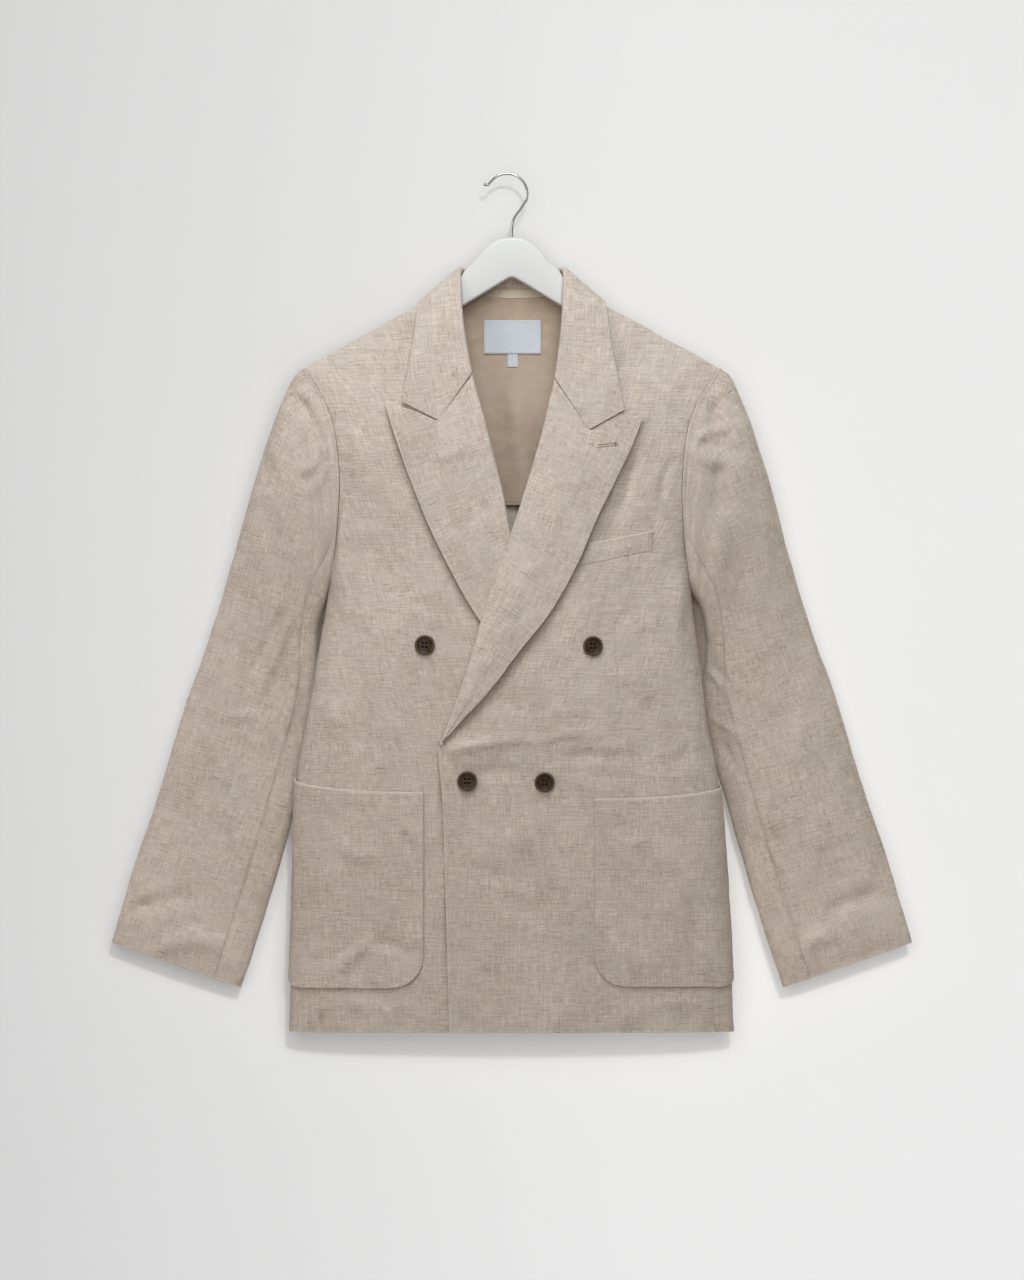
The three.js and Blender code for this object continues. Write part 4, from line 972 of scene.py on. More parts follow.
def shaped_lapel(settings, side):
    """The grid of a lapel, with the relief of the front that it lies on and its own creases."""
    columns = stretches((-1, 1, 12), (1, 1.5, 16), (1.5, 2, 16))
    u, v = np.meshgrid(columns, stretches((0, 11 if side > 0 else 10, 118)))
    points = lapel_point(side, u, v)
    x, z = points[..., 0].copy(), points[..., 2].copy()
    points[..., 1] -= front_relief(settings, x, z) + settings.crease_depth * creases(x, z, LAPEL_CREASES)
    return u, v, points


def on_front(settings, side, x, z, lift):
    """Points this far off the outer face of a front, and its normals there."""
    x, z = np.asarray(x, float), np.asarray(z, float)
    normals = front_normal(side, x, z)
    return front_face(side, x, z) + normals * (front_relief(settings, x, z) + lift)[..., None], normals


# ---------------------------------------------------------------------------- buttons, hanger and hook
def button_shape():
    """A button turned about Z, with four holes sunk into its face, and values for its material."""
    turn = np.linspace(0, 2 * math.pi, 96, endpoint=False)
    radius, height = np.array(BUTTON_PROFILE, float).T
    rings = np.stack([
        radius[:, None] * np.cos(turn), radius[:, None] * np.sin(turn), height[:, None] + 0 * turn,
    ], -1)
    upper = (np.arange(len(radius)) >= BUTTON_UNDERSIDE_ROWS)[:, None]
    sunk = np.zeros(rings.shape[:2])
    for centre in BUTTON_HOLE_X * np.array([(1, 1), (1, -1), (-1, 1), (-1, -1)]):
        apart = np.linalg.norm(rings[..., :2] - centre, axis=-1)
        sunk = np.maximum(sunk, np.where(upper, smooth((BUTTON_HOLE + 0.2 - apart) / 0.4), 0))
    rings[..., 2] -= BUTTON_HOLE_DEPTH * sunk
    count = len(turn)
    vertices = np.concatenate([rings[1:-1].reshape(-1, 3), rings[0, :1], rings[-1, :1]])
    share = np.concatenate([np.repeat(radius[1:-1], count), [0, 0]]) / BUTTON_RADIUS
    share[: 5 * count] = 0
    deep = np.concatenate([sunk[1:-1].ravel(), [0, 0]])
    faces = ring_quads(len(radius) - 2, count)
    foot, top, last = len(vertices) - 2, len(vertices) - 1, (len(radius) - 3) * count
    faces += [(foot, (j + 1) % count, j) for j in range(count)]
    faces += [(top, last + j, last + (j + 1) % count) for j in range(count)]
    return vertices, faces, {"radius": share, "hole": deep}


def button_threads():
    """Two strands through each pair of holes, and the shank."""
    paths = []
    x = np.linspace(-1, 1, 9) * BUTTON_HOLE_X
    rise = 2.3 + 0.25 * np.cos(x / BUTTON_HOLES_APART * 2) - 1.1 * (np.abs(x) > 1.5)
    for row in (-1, 1):
        for strand in (-0.2, 0.2):
            paths.append(np.stack([x, 0 * x + row * BUTTON_HOLE_X + strand, rise], -1))
    shank = np.linspace(-1.2, 0.6, 4)
    return [*paths, np.stack([0 * shank, 0 * shank, shank], -1)]


def stitch_lapel_buttonhole(settings, thread):
    """The lapel's buttonhole: two thread-bound lips, a round eye at one end with its opening painted dark as
    shade, and a dark slit.
    """
    start, reach = BUTTONHOLE_START, BUTTONHOLE_END - BUTTONHOLE_START
    ahead = reach / np.linalg.norm(reach)
    aside = np.array([-ahead[1], ahead[0]])
    points = shaped_lapel(settings, 1)[2].reshape(-1, 3)

    def on_lapel(place, lift):
        """On the lapel's cloth, at the mean depth of the points nearest this place."""
        weight = bell(np.linalg.norm(points[None, :, ::2] - place[:, None], axis=-1), 2.5)
        depth = (weight * points[:, 1]).sum(-1) / weight.sum(-1)
        return np.stack([place[:, 0], depth - lift, place[:, 1]], -1)

    share = np.linspace(0, 1, 14)[:, None]
    paths = [on_lapel(start + reach * share + aside * offset, 0.1) for offset in (-1.25, 1.25)]
    turn = np.linspace(-2.3, 2.3, 12)[:, None]
    paths.append(on_lapel(BUTTONHOLE_END + ahead * 1.9 * np.cos(turn) + aside * 1.9 * np.sin(turn), 0.15))
    tubes("lapel_buttonhole_thread", paths, 0.36, thread)
    # The eye's opening is filled with a dark tube, painted shade.
    painted_shade = smooth_material("Buttonhole Shade", (0.02, 0.013, 0.008), (0.05, 0.03, 0.02), 0.8, 0.95,
                           (0.6, 0.6, 0.6))
    slit = [on_lapel(start + reach * share, -0.05)]
    eye = [on_lapel(BUTTONHOLE_END + ahead * 0.4 * np.linspace(-1, 1, 5)[:, None], 0.4)]
    tubes("lapel_buttonhole_slit", slit, 0.16, thread, flat=0.5)
    tubes("lapel_buttonhole_eye", eye, 1.25, painted_shade, flat=0.4)


def hanger_rings():
    """Sections across the board from tip to tip: a rounded rectangle between its top and its underside."""
    tip = HANGER_TIP_START + HANGER_TIP_LENGTH * np.sin(np.linspace(0, math.pi / 2, 12))
    spans = ((0, 12, 9), (12, 92, 54), (92, HANGER_TIP_START, 40))
    half = np.concatenate([*[np.linspace(*span)[:-1] for span in spans], tip])
    x = np.concatenate([-half[:0:-1], half])
    reach = np.abs(x)
    arm = ridge_height(reach) - HANGER_DROP
    top = np.where(reach < DOME_END_X, look(DOME, "z", reach), arm)
    under_neck = ridge_height(NECK_X) - HANGER_DROP - HANGER_ARM
    apex = np.sqrt(reach**2 + 3.0**2) - 1.2
    under = np.where(reach < NECK_X, mix(HANGER_APEX_Z, under_neck, apex / NECK_X), arm - HANGER_ARM)
    past = ((reach - HANGER_TIP_START) / HANGER_TIP_ROUND).clip(0, 1)
    rounded = np.sqrt(np.clip(1 - past**2, 0.004, 1))
    middle = (top + under) / 2
    tall = (top - under) / 2 * rounded
    deep = HANGER_THICKNESS / 2 * np.minimum(1, rounded * 1.4)
    corner = np.minimum(HANGER_ROUND, np.minimum(tall, deep) * 0.96)
    section = []
    for quarter, (back, up) in enumerate(((1, 1), (-1, 1), (-1, -1), (1, -1))):
        turn = np.radians(90 * quarter + np.linspace(0, 90, 7))
        y = (back * (deep - corner))[:, None] + corner[:, None] * np.cos(turn) - HANGER_FORWARD
        z = (up * (tall - corner))[:, None] + corner[:, None] * np.sin(turn) + middle[:, None]
        section.append(np.stack([np.broadcast_to(x[:, None], y.shape), y, z], -1))
    return np.concatenate(section, 1)


def hook_line():
    """The middle of the wire, as one smooth line through its tip, its bend and its neck."""
    centre = -math.sqrt((BEND_RADIUS - WIRE) ** 2 - BEND_X**2)
    angles = np.radians(np.linspace(*HOOK_BEND, 9))
    bend = [(BEND_X + BEND_RADIUS * math.cos(a), centre + BEND_RADIUS * math.sin(a)) for a in angles]
    route = np.array([*HOOK_TIP, *bend, *HOOK_NECK], float)
    run = walked(route)
    path = {"key": run, "x": route[:, 0], "z": route[:, 1]}
    at = np.linspace(0, run[-1], 160)
    return np.stack([look(path, "x", at), 0 * at, look(path, "z", at)], -1)


# ---------------------------------------------------------------------------- meshes
def stretches(*parts):
    """Evenly spaced places through each (start, end, count) in turn, and one more near either end."""
    places = np.concatenate([np.linspace(start, end, count, endpoint=False) for start, end, count in parts])
    places = np.append(places, parts[-1][1])
    first, last = 0.3 * (places[1] - places[0]), 0.3 * (places[-1] - places[-2])
    return np.sort(np.concatenate([places, [places[0] + first, places[-1] - last]]))


def grid_normals(points, facing):
    """Unit normals of a grid of points, on the side that faces the given way near its middle."""
    across, down = np.gradient(points, axis=1), np.gradient(points, axis=0)
    normals = unit(np.cross(across, down))
    rows, columns = points.shape[:2]
    away = normals[rows // 2, columns // 2] @ np.array(facing, float)
    return normals if away > 0 else -normals


def raised(points, normals, relief):
    return points + normals * relief[..., None]


def running(steps):
    """The running total of steps along the last axis, from nought."""
    return np.concatenate([np.zeros_like(steps[..., :1]), np.cumsum(steps, -1)], -1)


def walked(line):
    """How far along a line of points each of them lies."""
    return running(np.linalg.norm(np.diff(line, axis=0), axis=-1))


def grain(points, start=0.0, side=1):
    """Where each point lies on its flat cut, in metres: the horizontal way along its row, and its height.
    start is the way at which the rows begin."""
    run = running(np.linalg.norm(np.diff(points[..., :2], axis=1), axis=-1))
    return np.stack([start + side * run, points[..., 2]], -1) * MM


def grain_along(points, centre, turned=False, spine=None):
    """The same for a piece whose threads follow its own length: the way down its spine, which is its middle
    column unless another line is given, and the way across each row from that column."""
    spine = points[:, centre] if spine is None else spine
    axis = unit(np.gradient(spine, axis=0))[:, None]
    steps = np.diff(points, axis=1)
    steps = steps - (steps * axis).sum(-1, keepdims=True) * axis
    run = running(np.linalg.norm(steps, axis=-1))
    run -= run[:, centre : centre + 1]
    lead = ((points - spine[:, None]) * axis).sum(-1)
    places = [run, -(walked(spine)[:, None] + lead)]
    return np.stack(places[::-1] if turned else places, -1) * MM


def sheet(cloth, node_name, kind, *rests_on):
    """Hide the CAD node that the cloth stands for."""
    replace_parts(cloth, node_name)


def mesh_object(name, vertices, faces, material, uv=None, values=None):
    """An object at the origin from vertices in millimetres. uv is a place for each vertex, and values are
    named numbers for each vertex that the materials read."""
    mesh = bpy.data.meshes.new(name)
    mesh.from_pydata((vertices * MM).tolist(), [], faces)
    mesh.shade_smooth()
    if uv is not None:
        corners = np.empty(len(mesh.loops), np.int32)
        mesh.loops.foreach_get("vertex_index", corners)
        mesh.uv_layers.new(name="Cut").data.foreach_set("uv", uv[corners].astype(np.float32).ravel())
    for key, numbers in (values or {}).items():
        mesh.attributes.new(key, "FLOAT", "POINT").data.foreach_set("value", numbers.astype(np.float32))
    mesh.materials.append(material)
    made = bpy.data.objects.new(name, mesh)
    bpy.context.collection.objects.link(made)
    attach(made, "root")
    return made


def edged(points, top=FREE, bottom=FREE, left=FREE, right=FREE):
    """A value for each point of a grid: the given ones along its edges, and nothing between them."""
    values = np.zeros(points.shape[:2])
    values[:, 0], values[:, -1] = left, right
    values[0], values[-1] = top, bottom
    return values


def grid_edges(depth):
    """The row or column of a grid that lies this many in from each of its four edges."""
    every = slice(None)
    return (depth, every), (-1 - depth, every), (every, depth), (every, -1 - depth)


def shell(name, points, thickness, facing, uv, material, pale, hold=0.0):
    """A closed sheet of cloth: an outer face, an inner one a thickness below it, and a half round edge
    between them. The edge of the cloth comes to the grid's edge, or stops short of it by hold, which may be
    different at each point. pale says how much paler each point is painted, as highlight, or how much darker
    where it is negative, as shade; its values along the grid's edge hold for the whole rounded edge."""
    points = points.copy()
    normals = grid_normals(points, facing)
    rows, columns = points.shape[:2]
    radius = thickness / 2
    outward = np.zeros_like(points)
    for edge, inner in zip(grid_edges(0), grid_edges(2)):
        outward[edge] += unit(points[edge] - points[inner])
    outward = unit(outward)
    pull = outward * (radius + np.broadcast_to(hold, points.shape[:2])[..., None])
    points -= pull
    for near, edge in zip(grid_edges(1), grid_edges(0)):
        points[near] = mix(points[near], points[near] - pull[edge], NEXT_ROW_SHARE)
    inner = points - normals * thickness
    loop = np.concatenate([
        np.arange(columns),
        np.arange(1, rows) * columns + columns - 1,
        (rows - 1) * columns + np.arange(columns - 2, -1, -1),
        np.arange(rows - 2, 0, -1) * columns,
    ])
    middle = ((points + inner) / 2).reshape(-1, 3)[loop]
    out, up = outward.reshape(-1, 3)[loop], normals.reshape(-1, 3)[loop]
    out = unit(out - (out * up).sum(-1, keepdims=True) * up)
    rims = [middle + radius * (math.cos(a) * up + math.sin(a) * out) for a in RIM_ANGLES]
    count = rows * columns
    vertices = np.concatenate([points.reshape(-1, 3), inner.reshape(-1, 3), *rims])
    flat_uv = uv.reshape(-1, 2)
    uvs = np.concatenate([flat_uv, flat_uv, *[flat_uv[loop]] * len(rims)])
    pale = np.asarray(pale).ravel()
    painted_light = np.concatenate([pale, np.zeros(count), *[pale[loop]] * len(rims)])
    painted_light[count + loop] = pale[loop]
    corner = (np.arange(rows - 1)[:, None] * columns + np.arange(columns - 1)).ravel()
    quads = np.stack([corner, corner + 1, corner + columns + 1, corner + columns], -1)
    rings = [loop, *[2 * count + k * len(loop) + np.arange(len(loop)) for k in range(len(rims))], count + loop]
    walls = [
        np.stack([low, high, np.roll(high, -1), np.roll(low, -1)], -1) for low, high in zip(rings, rings[1:])
    ]
    faces = np.concatenate([quads, (quads + count)[:, ::-1], *walls])
    row, column = rows // 2, columns // 2
    across = points[row, column + 1] - points[row, column]
    down = points[row + 1, column] - points[row, column]
    if np.cross(across, down) @ normals[row, column] < 0:
        faces = faces[:, ::-1]
    return mesh_object(name, vertices, faces.tolist(), material, uvs, {"edge": painted_light})


def ring_quads(rings, count, start=0):
    """The faces between neighbouring rings of points, which are stored one ring after another."""
    place = np.arange(count)
    after = (place + 1) % count
    low = start + count * np.arange(rings - 1)[:, None]
    quads = np.stack([low + place, low + after, low + count + after, low + count + place], -1)
    return quads.reshape(-1, 4).tolist()


def capped_rings(rings, count, start=0):
    """The same, with a face over the first ring and one over the last."""
    last = start + (rings - 1) * count
    caps = [list(range(start, start + count))[::-1], list(range(last, last + count))]
    return ring_quads(rings, count, start) + caps


def tubes(name, paths, radius, material, sides=8, flat=1.0, blunt=False):
    """One joined mesh of round or flattened tubes, each along its own path of points. Their ends are shut,
    and narrow unless they are blunt."""
    vertices, faces, uvs, start = [], [], [], 0
    turn = np.linspace(0, 2 * math.pi, sides, endpoint=False)
    for path in paths:
        path = np.asarray(path, float)
        tangent = unit(np.gradient(path, axis=0))
        side = unit(np.cross(tangent, TUBE_REFERENCE))
        up = np.cross(side, tangent)
        radii = np.full(len(path), float(radius))
        if not blunt:
            radii[[0, -1]] *= TUBE_END
        ring = side[:, None] * np.cos(turn)[:, None] + up[:, None] * flat * np.sin(turn)[:, None]
        vertices.append((path[:, None] + radii[:, None, None] * ring).reshape(-1, 3))
        run = np.repeat(walked(path) * MM, sides)
        uvs.append(np.stack([np.tile(turn / (2 * math.pi), len(path)), run], -1))
        faces += capped_rings(len(path), sides, start)
        start += len(path) * sides
    return mesh_object(name, np.concatenate(vertices), faces, material, np.concatenate(uvs))


def stitches(line, normals, length, gap, lift):
    """Short arched paths along a line of points: each dips into the cloth at its two ends."""
    normals = np.broadcast_to(normals, line.shape)
    run = walked(line)
    paths = []
    for start in np.arange(0, run[-1] - length, length + gap):
        at = np.linspace(start, start + length, len(STITCH_ARCH))
        point = np.stack([np.interp(at, run, line[:, k]) for k in range(3)], -1)
        normal = unit(np.stack([np.interp(at, run, normals[:, k]) for k in range(3)], -1))
        paths.append(point + normal * (lift * np.array(STITCH_ARCH))[:, None])
    return paths


# ---------------------------------------------------------------------------- materials
def feed(tree, sockets, values):
    """Give each named or numbered socket its value: a constant, or another node's output."""
    for key, value in values.items():
        if isinstance(value, bpy.types.NodeSocket):
            tree.links.new(value, sockets[key])
        else:
            sockets[key].default_value = value


def node(tree, kind, inputs=None, **settings):
    """A new node with its settings and inputs."""
    made = tree.nodes.new(kind)
    for key, value in settings.items():
        setattr(made, key, value)
    feed(tree, made.inputs, inputs or {})
    return made


def maths(tree, operation, a, b=0.0, clamp=False):
    return node(tree, "ShaderNodeMath", {0: a, 1: b}, operation=operation, use_clamp=clamp).outputs[0]


def in_grains(tree, place, grain_mm):
    """A place in metres, as numbers of grains of the given sizes."""
    scale = tuple(1000 / size for size in grain_mm)
    return node(tree, "ShaderNodeVectorMath", {0: place, 1: scale}, operation="MULTIPLY").outputs[0]


def noise(tree, place, grain_mm, detail=2.0, rough=0.5):
    inputs = {"Vector": in_grains(tree, place, grain_mm), "Scale": 1.0, "Detail": detail, "Roughness": rough}
    return node(tree, "ShaderNodeTexNoise", inputs).outputs["Fac"]


def ranged(tree, value, low, high, to_low=0.0, to_high=1.0):
    inputs = {"Value": value, "From Min": low, "From Max": high, "To Min": to_low, "To Max": to_high}
    return node(tree, "ShaderNodeMapRange", inputs, interpolation_type="SMOOTHSTEP").outputs["Result"]


def mixed(tree, factor, a, b):
    """A mix of two colours, whose sockets have to be numbered because other kinds share their names."""
    made = node(tree, "ShaderNodeMix", data_type="RGBA")
    feed(tree, made.inputs, {0: factor, 6: a, 7: b})
    return made.outputs[2]


def bump(tree, height, distance, strength):
    inputs = {"Height": height, "Distance": distance, "Strength": strength}
    return node(tree, "ShaderNodeBump", inputs).outputs["Normal"]


def opaque(colour, factor=None):
    """A colour with its alpha, first made this many times as light where a factor is given."""
    return (*(colour if factor is None else shade(colour, factor)), 1)


def shade(colour, factor):
    return tuple(min(1.0, channel * factor) for channel in colour)


def group(name, inputs):
    """A new shader node group that gives a colour, a roughness and a height, and its two end nodes."""
    tree = bpy.data.node_groups.new(name, "ShaderNodeTree")
    for label, kind in inputs.items():
        tree.interface.new_socket(label, in_out="INPUT", socket_type=kind)
    for label, kind in (("Color", COLOUR), ("Roughness", NUMBER), ("Height", NUMBER)):
        tree.interface.new_socket(label, in_out="OUTPUT", socket_type=kind)
    return tree, tree.nodes.new("NodeGroupInput").outputs, tree.nodes.new("NodeGroupOutput").inputs


def linen_group():
    """Linen as woven: long pale and dark streaks both ways, brown slubs mostly along the weft, pale worn
    blotches, and the painted highlight and shade that each mesh gives along its edges, seams and folds."""
    tree, given, result = group("Linen Threads", {
        "Place": VECTOR, "Pale": COLOUR, "Dark": COLOUR, "Faded": COLOUR, "Slub": COLOUR,
        "Slubs": NUMBER, "PaintedLight": NUMBER,
    })

    def grains(name, detail=2.0, rough=0.5):
        return noise(tree, given["Place"], LINEN_GRAINS[name], detail, rough)

    def both(operation, a, b, clamp=False):
        return maths(tree, operation, a, b, clamp)

    threads = both("ADD", ranged(tree, grains("warp", 2.0, 0.55), 0.3, 0.7),
                   ranged(tree, grains("weft", 2.0, 0.55), 0.3, 0.7))
    streaks = both("ADD", ranged(tree, grains("warp streak", 1.0), 0.35, 0.65),
                   ranged(tree, grains("weft streak", 1.0), 0.35, 0.65))
    tone = both("ADD", both("MULTIPLY", threads, 0.39), both("MULTIPLY", streaks, 0.17))
    worn = ranged(tree, grains("blotch", 3.0, 0.6), 0.3, 0.72, -0.10, 0.06)
    tone = both("ADD", tone, both("ADD", worn, ranged(tree, grains("cloud"), 0.3, 0.7, -0.07, 0.07)))
    # The mesh's edge values add painted highlight along free edges, folds and mouths, and painted shade along
    # seams.
    tone = both("ADD", tone, both("MULTIPLY", given["PaintedLight"], 0.5), True)
    faded = ranged(tree, grains("fading", 3.0, 0.6), 0.42, 0.7, 0.0, 0.28)
    base = mixed(tree, faded, mixed(tree, tone, given["Dark"], given["Pale"]), given["Faded"])
    slub = both("MAXIMUM", ranged(tree, grains("weft slub", 1.0), 0.655, 0.73),
                ranged(tree, grains("warp slub", 1.0), 0.71, 0.78))
    slub = both("MULTIPLY", slub, ranged(tree, grains("slub patch", 1.0), 0.46, 0.62))
    slub = both("MULTIPLY", slub, given["Slubs"], True)
    feed(tree, result, {
        "Color": mixed(tree, slub, base, given["Slub"]),
        "Roughness": ranged(tree, tone, 0, 1, 0.86, 0.98),
        "Height": both("ADD", threads, slub),
    })
    return tree


def grain_group():
    """A fine mottling for smooth finishes: a colour a little lighter and darker in places, an uneven
    roughness, and a slight height."""
    tree, given, result = group("Fine Grain", {
        "Place": VECTOR, "Low": COLOUR, "High": COLOUR, "Smooth": NUMBER, "Rough": NUMBER,
    })
    inputs = {"Vector": given["Place"], "Scale": 1.0, "Detail": 4.0}
    mottle = node(tree, "ShaderNodeTexNoise", inputs).outputs["Fac"]
    share = ranged(tree, mottle, 0.3, 0.7)
    span = maths(tree, "SUBTRACT", given["Rough"], given["Smooth"])
    feed(tree, result, {
        "Color": mixed(tree, share, given["Low"], given["High"]),
        "Roughness": maths(tree, "ADD", given["Smooth"], maths(tree, "MULTIPLY", share, span)),
        "Height": mottle,
    })
    return tree


def grouped(tree, name, maker, inputs):
    """The outputs of a shared group, which is made the first time that it is asked for."""
    shared = bpy.data.node_groups.get(name) or maker()
    return node(tree, "ShaderNodeGroup", inputs, node_tree=shared).outputs


def shared_material(name, maker, *given):
    """The material of this name. The first time, maker fills in its tree and Principled shader."""
    found = bpy.data.materials.get(name)
    if found:
        return found
    material = bpy.data.materials.new(name)
    material.use_nodes = True
    maker(material.node_tree, material.node_tree.nodes["Principled BSDF"], *given)
    return material


def cut_place(tree):
    return node(tree, "ShaderNodeUVMap", uv_map="Cut").outputs[0]


def object_place(tree):
    return node(tree, "ShaderNodeTexCoord").outputs["Object"]


def vertex_value(tree, name):
    return node(tree, "ShaderNodeAttribute", attribute_name=name).outputs["Fac"]


def make_linen(tree, shader, settings):
    made = grouped(tree, "Linen Threads", linen_group, {
        "Place": cut_place(tree),
        # The mesh's "edge" attribute holds painted highlight and painted shade.
        "PaintedLight": vertex_value(tree, "edge"),
        "Pale": opaque(settings.linen_pale),
        "Dark": opaque(settings.linen_dark),
        "Faded": opaque(settings.linen_faded),
        "Slub": opaque(settings.slub_colour),
        "Slubs": settings.slub_strength,
    })
    feed(tree, shader.inputs, {
        "Base Color": made["Color"],
        "Roughness": made["Roughness"],
        "Normal": bump(tree, made["Height"], 0.0004, 0.5),
        "Specular IOR Level": 0.2,
        "Sheen Weight": 0.12,
        "Sheen Roughness": 0.5,
    })


def make_smooth(tree, shader, low, high, smoothest, roughest, grain_mm, bump_mm, constants):
    made = grouped(tree, "Fine Grain", grain_group, {
        "Place": in_grains(tree, object_place(tree), grain_mm),
        "Low": opaque(low),
        "High": opaque(high),
        "Smooth": smoothest,
        "Rough": roughest,
    })
    feed(tree, shader.inputs, {"Base Color": made["Color"], "Roughness": made["Roughness"], **constants})
    if bump_mm:
        feed(tree, shader.inputs, {"Normal": bump(tree, made["Height"], bump_mm * MM, 0.5)})


def smooth_material(name, low, high, smoothest, roughest, grain_mm, bump_mm=0.0, constants=None):
    """A smooth finish between two colours and two roughnesses, with grains of the given sizes."""
    given = (low, high, smoothest, roughest, grain_mm, bump_mm, constants or {})
    return shared_material(name, make_smooth, *given)


def satin(name, colour, grain_mm):
    constants = {"Sheen Weight": 0.25, "Anisotropic": 0.4}
    return smooth_material(name, shade(colour, 0.93), shade(colour, 1.05), 0.36, 0.48, grain_mm, 0.03, constants)


def make_horn(tree, shader, settings):
    """Dark horn with two paler rings near the rim that are painted highlight, and holes painted dark, as shade.
    "radius" is how far out a point lies as a share.
    """
    streak = noise(tree, object_place(tree), HORN_GRAIN, 4.0, 0.6)
    radius = vertex_value(tree, "radius")
    # Two paler rings near the rim are painted highlight.
    rim_highlight = maths(tree, "MULTIPLY", ranged(tree, radius, 0.74, 0.9), ranged(tree, radius, 1.02, 0.95))
    dish = maths(tree, "MULTIPLY", ranged(tree, radius, 0.62, 0.4), 0.45)
    layers = (
        (ranged(tree, streak, 0.35, 0.7), opaque(settings.horn_pale)),
        (dish, opaque(settings.horn_pale)),
        (maths(tree, "MULTIPLY", rim_highlight, 0.6), opaque(settings.horn_pale, 2.6)),
        (ranged(tree, radius, 0.955, 0.99, 0.0, 0.75), opaque(settings.horn_rim_highlight)),
        # The holes are painted dark, as shade.
        (vertex_value(tree, "hole"), opaque(settings.horn_dark, 0.25)),
    )
    base = opaque(settings.horn_dark)
    for share, colour in layers:
        base = mixed(tree, share, base, colour)
    feed(tree, shader.inputs, {
        "Base Color": base,
        "Roughness": ranged(tree, streak, 0.3, 0.7, 0.34, 0.5),
        "Specular IOR Level": 0.18,
        "Normal": bump(tree, streak, 0.0001, 0.4),
    })


def make_wall(tree, shader, settings):
    """Matt paint, painted a little darker towards the left as shade, which lets through whatever looks at it from
    behind.
    """
    place = object_place(tree)
    x = node(tree, "ShaderNodeSeparateXYZ", {0: place}).outputs["X"]
    left, right = WALL_PAINTED_SHADE_X
    share = node(tree, "ShaderNodeMapRange", {"Value": x, "From Min": left, "From Max": right}).outputs["Result"]
    fine = noise(tree, place, WALL_GRAIN, 3.0)
    # A darker copy of the paint: painted shade for the left of the wall.
    painted_shade = mixed(tree, fine, opaque(settings.wall_colour, 0.84), opaque(settings.wall_colour, 0.83))
    feed(tree, shader.inputs, {
        "Base Color": mixed(tree, share, painted_shade, opaque(settings.wall_colour)),
        "Roughness": 0.9,
        "Specular IOR Level": 0.1,
    })
    behind = node(tree, "ShaderNodeNewGeometry").outputs["Backfacing"]
    clear = node(tree, "ShaderNodeBsdfTransparent").outputs[0]
    both = node(tree, "ShaderNodeMixShader", {0: behind, 1: shader.outputs[0], 2: clear})
    feed(tree, tree.nodes["Material Output"].inputs, {"Surface": both.outputs[0]})


def make_thread(tree, shader, colour):
    """Twisted thread: slanting light and dark turns along its length."""
    split = node(tree, "ShaderNodeSeparateXYZ", {0: cut_place(tree)}).outputs
    turns = maths(tree, "ADD", split["X"], maths(tree, "MULTIPLY", split["Y"], THREAD_TURNS))
    wave = maths(tree, "SINE", maths(tree, "MULTIPLY", turns, 2 * math.pi))
    share = ranged(tree, wave, -1, 1)
    feed(tree, shader.inputs, {
        "Base Color": mixed(tree, share, opaque(colour, 0.6), opaque(colour, 1.15)),
        "Roughness": 0.7,
        "Normal": bump(tree, share, 0.00012, 0.6),
    })


def thread_material(name, colour):
    return shared_material(name, make_thread, colour)


# ---------------------------------------------------------------------------- settings
def colour(name, description, default):
    return FloatVectorProperty(
        name=name, description=description, default=default, subtype="COLOR", min=0, max=1)


class BlazerSettings(PropertyGroup):
    """Sizes and colours of the blazer that a user would change."""

    crease_depth: FloatProperty(
        name="Crease depth", description="Scale of every crease", default=1.0, min=0, max=2)
    slub_strength: FloatProperty(
        name="Slubs", description="How strongly slubs show", default=0.7, min=0, max=1)
    linen_pale: colour("Linen, pale threads", "Colour of the linen's palest threads", (0.752, 0.640, 0.537))
    linen_dark: colour("Linen, dark threads", "Colour of the linen's darkest threads", (0.392, 0.316, 0.250))
    linen_faded: colour("Linen, faded", "Colour of the greyer, faded patches", (0.60, 0.528, 0.462))
    slub_colour: colour("Slubs", "Colour of the slubs", (0.20, 0.12, 0.06))
    lining_colour: colour("Lining", "Colour of the satin lining", (0.475, 0.352, 0.258))
    label_colour: colour("Label", "Colour of the blank label and tab", (0.63, 0.652, 0.685))
    loop_colour: colour("Loop", "Colour of the hanging loop", (0.60, 0.51, 0.39))
    thread_colour: colour("Stitching", "Colour of the visible stitches", (0.33, 0.235, 0.155))
    horn_dark: colour("Buttons, dark", "Darkest colour of the horn buttons", (0.025, 0.0135, 0.0065))
    # The colour of the buttons' painted rim highlight.
    horn_rim_highlight: colour("Buttons, rim", "Colour of the buttons' worn rims", (0.36, 0.30, 0.24))
    horn_pale: colour("Buttons, pale", "Palest colour of the horn buttons", (0.068, 0.042, 0.025))
    hanger_colour: colour("Hanger", "Colour of the hanger's paint", (0.69, 0.67, 0.64))
    wall_colour: colour("Wall", "Colour of the backdrop", (0.90, 0.90, 0.90))


# ---------------------------------------------------------------------------- operators
def linen_piece(settings, node_name, kind, points, facing, uv, pale, rests_on, hold=0.0, thickness=CLOTH):
    """A sheet of linen that stands for one CAD node."""
    linen = shared_material("Linen", make_linen, settings)
    cloth = shell(f"{node_name}_cloth", points, thickness, facing, uv, linen, pale, hold)
    sheet(cloth, node_name, kind, *rests_on)


def off_armhole(u, rows_below):
    """1 over a panel, which runs out at the seam of the armhole beside it."""
    beside = smooth((1 - u) * PANEL_ACROSS / ARMHOLE_FADE)
    return np.clip(beside + smooth(rows_below / 0.5), 0, 1)


def front_columns():
    """Columns across a front, closer together by its dart."""
    near = DART_U + np.array([-0.014, -0.007, -0.0035, 0.0035, 0.007, 0.014])
    return np.unique(np.concatenate([stretches((0, DART_U, 30), (DART_U, 1, 52)), near]))


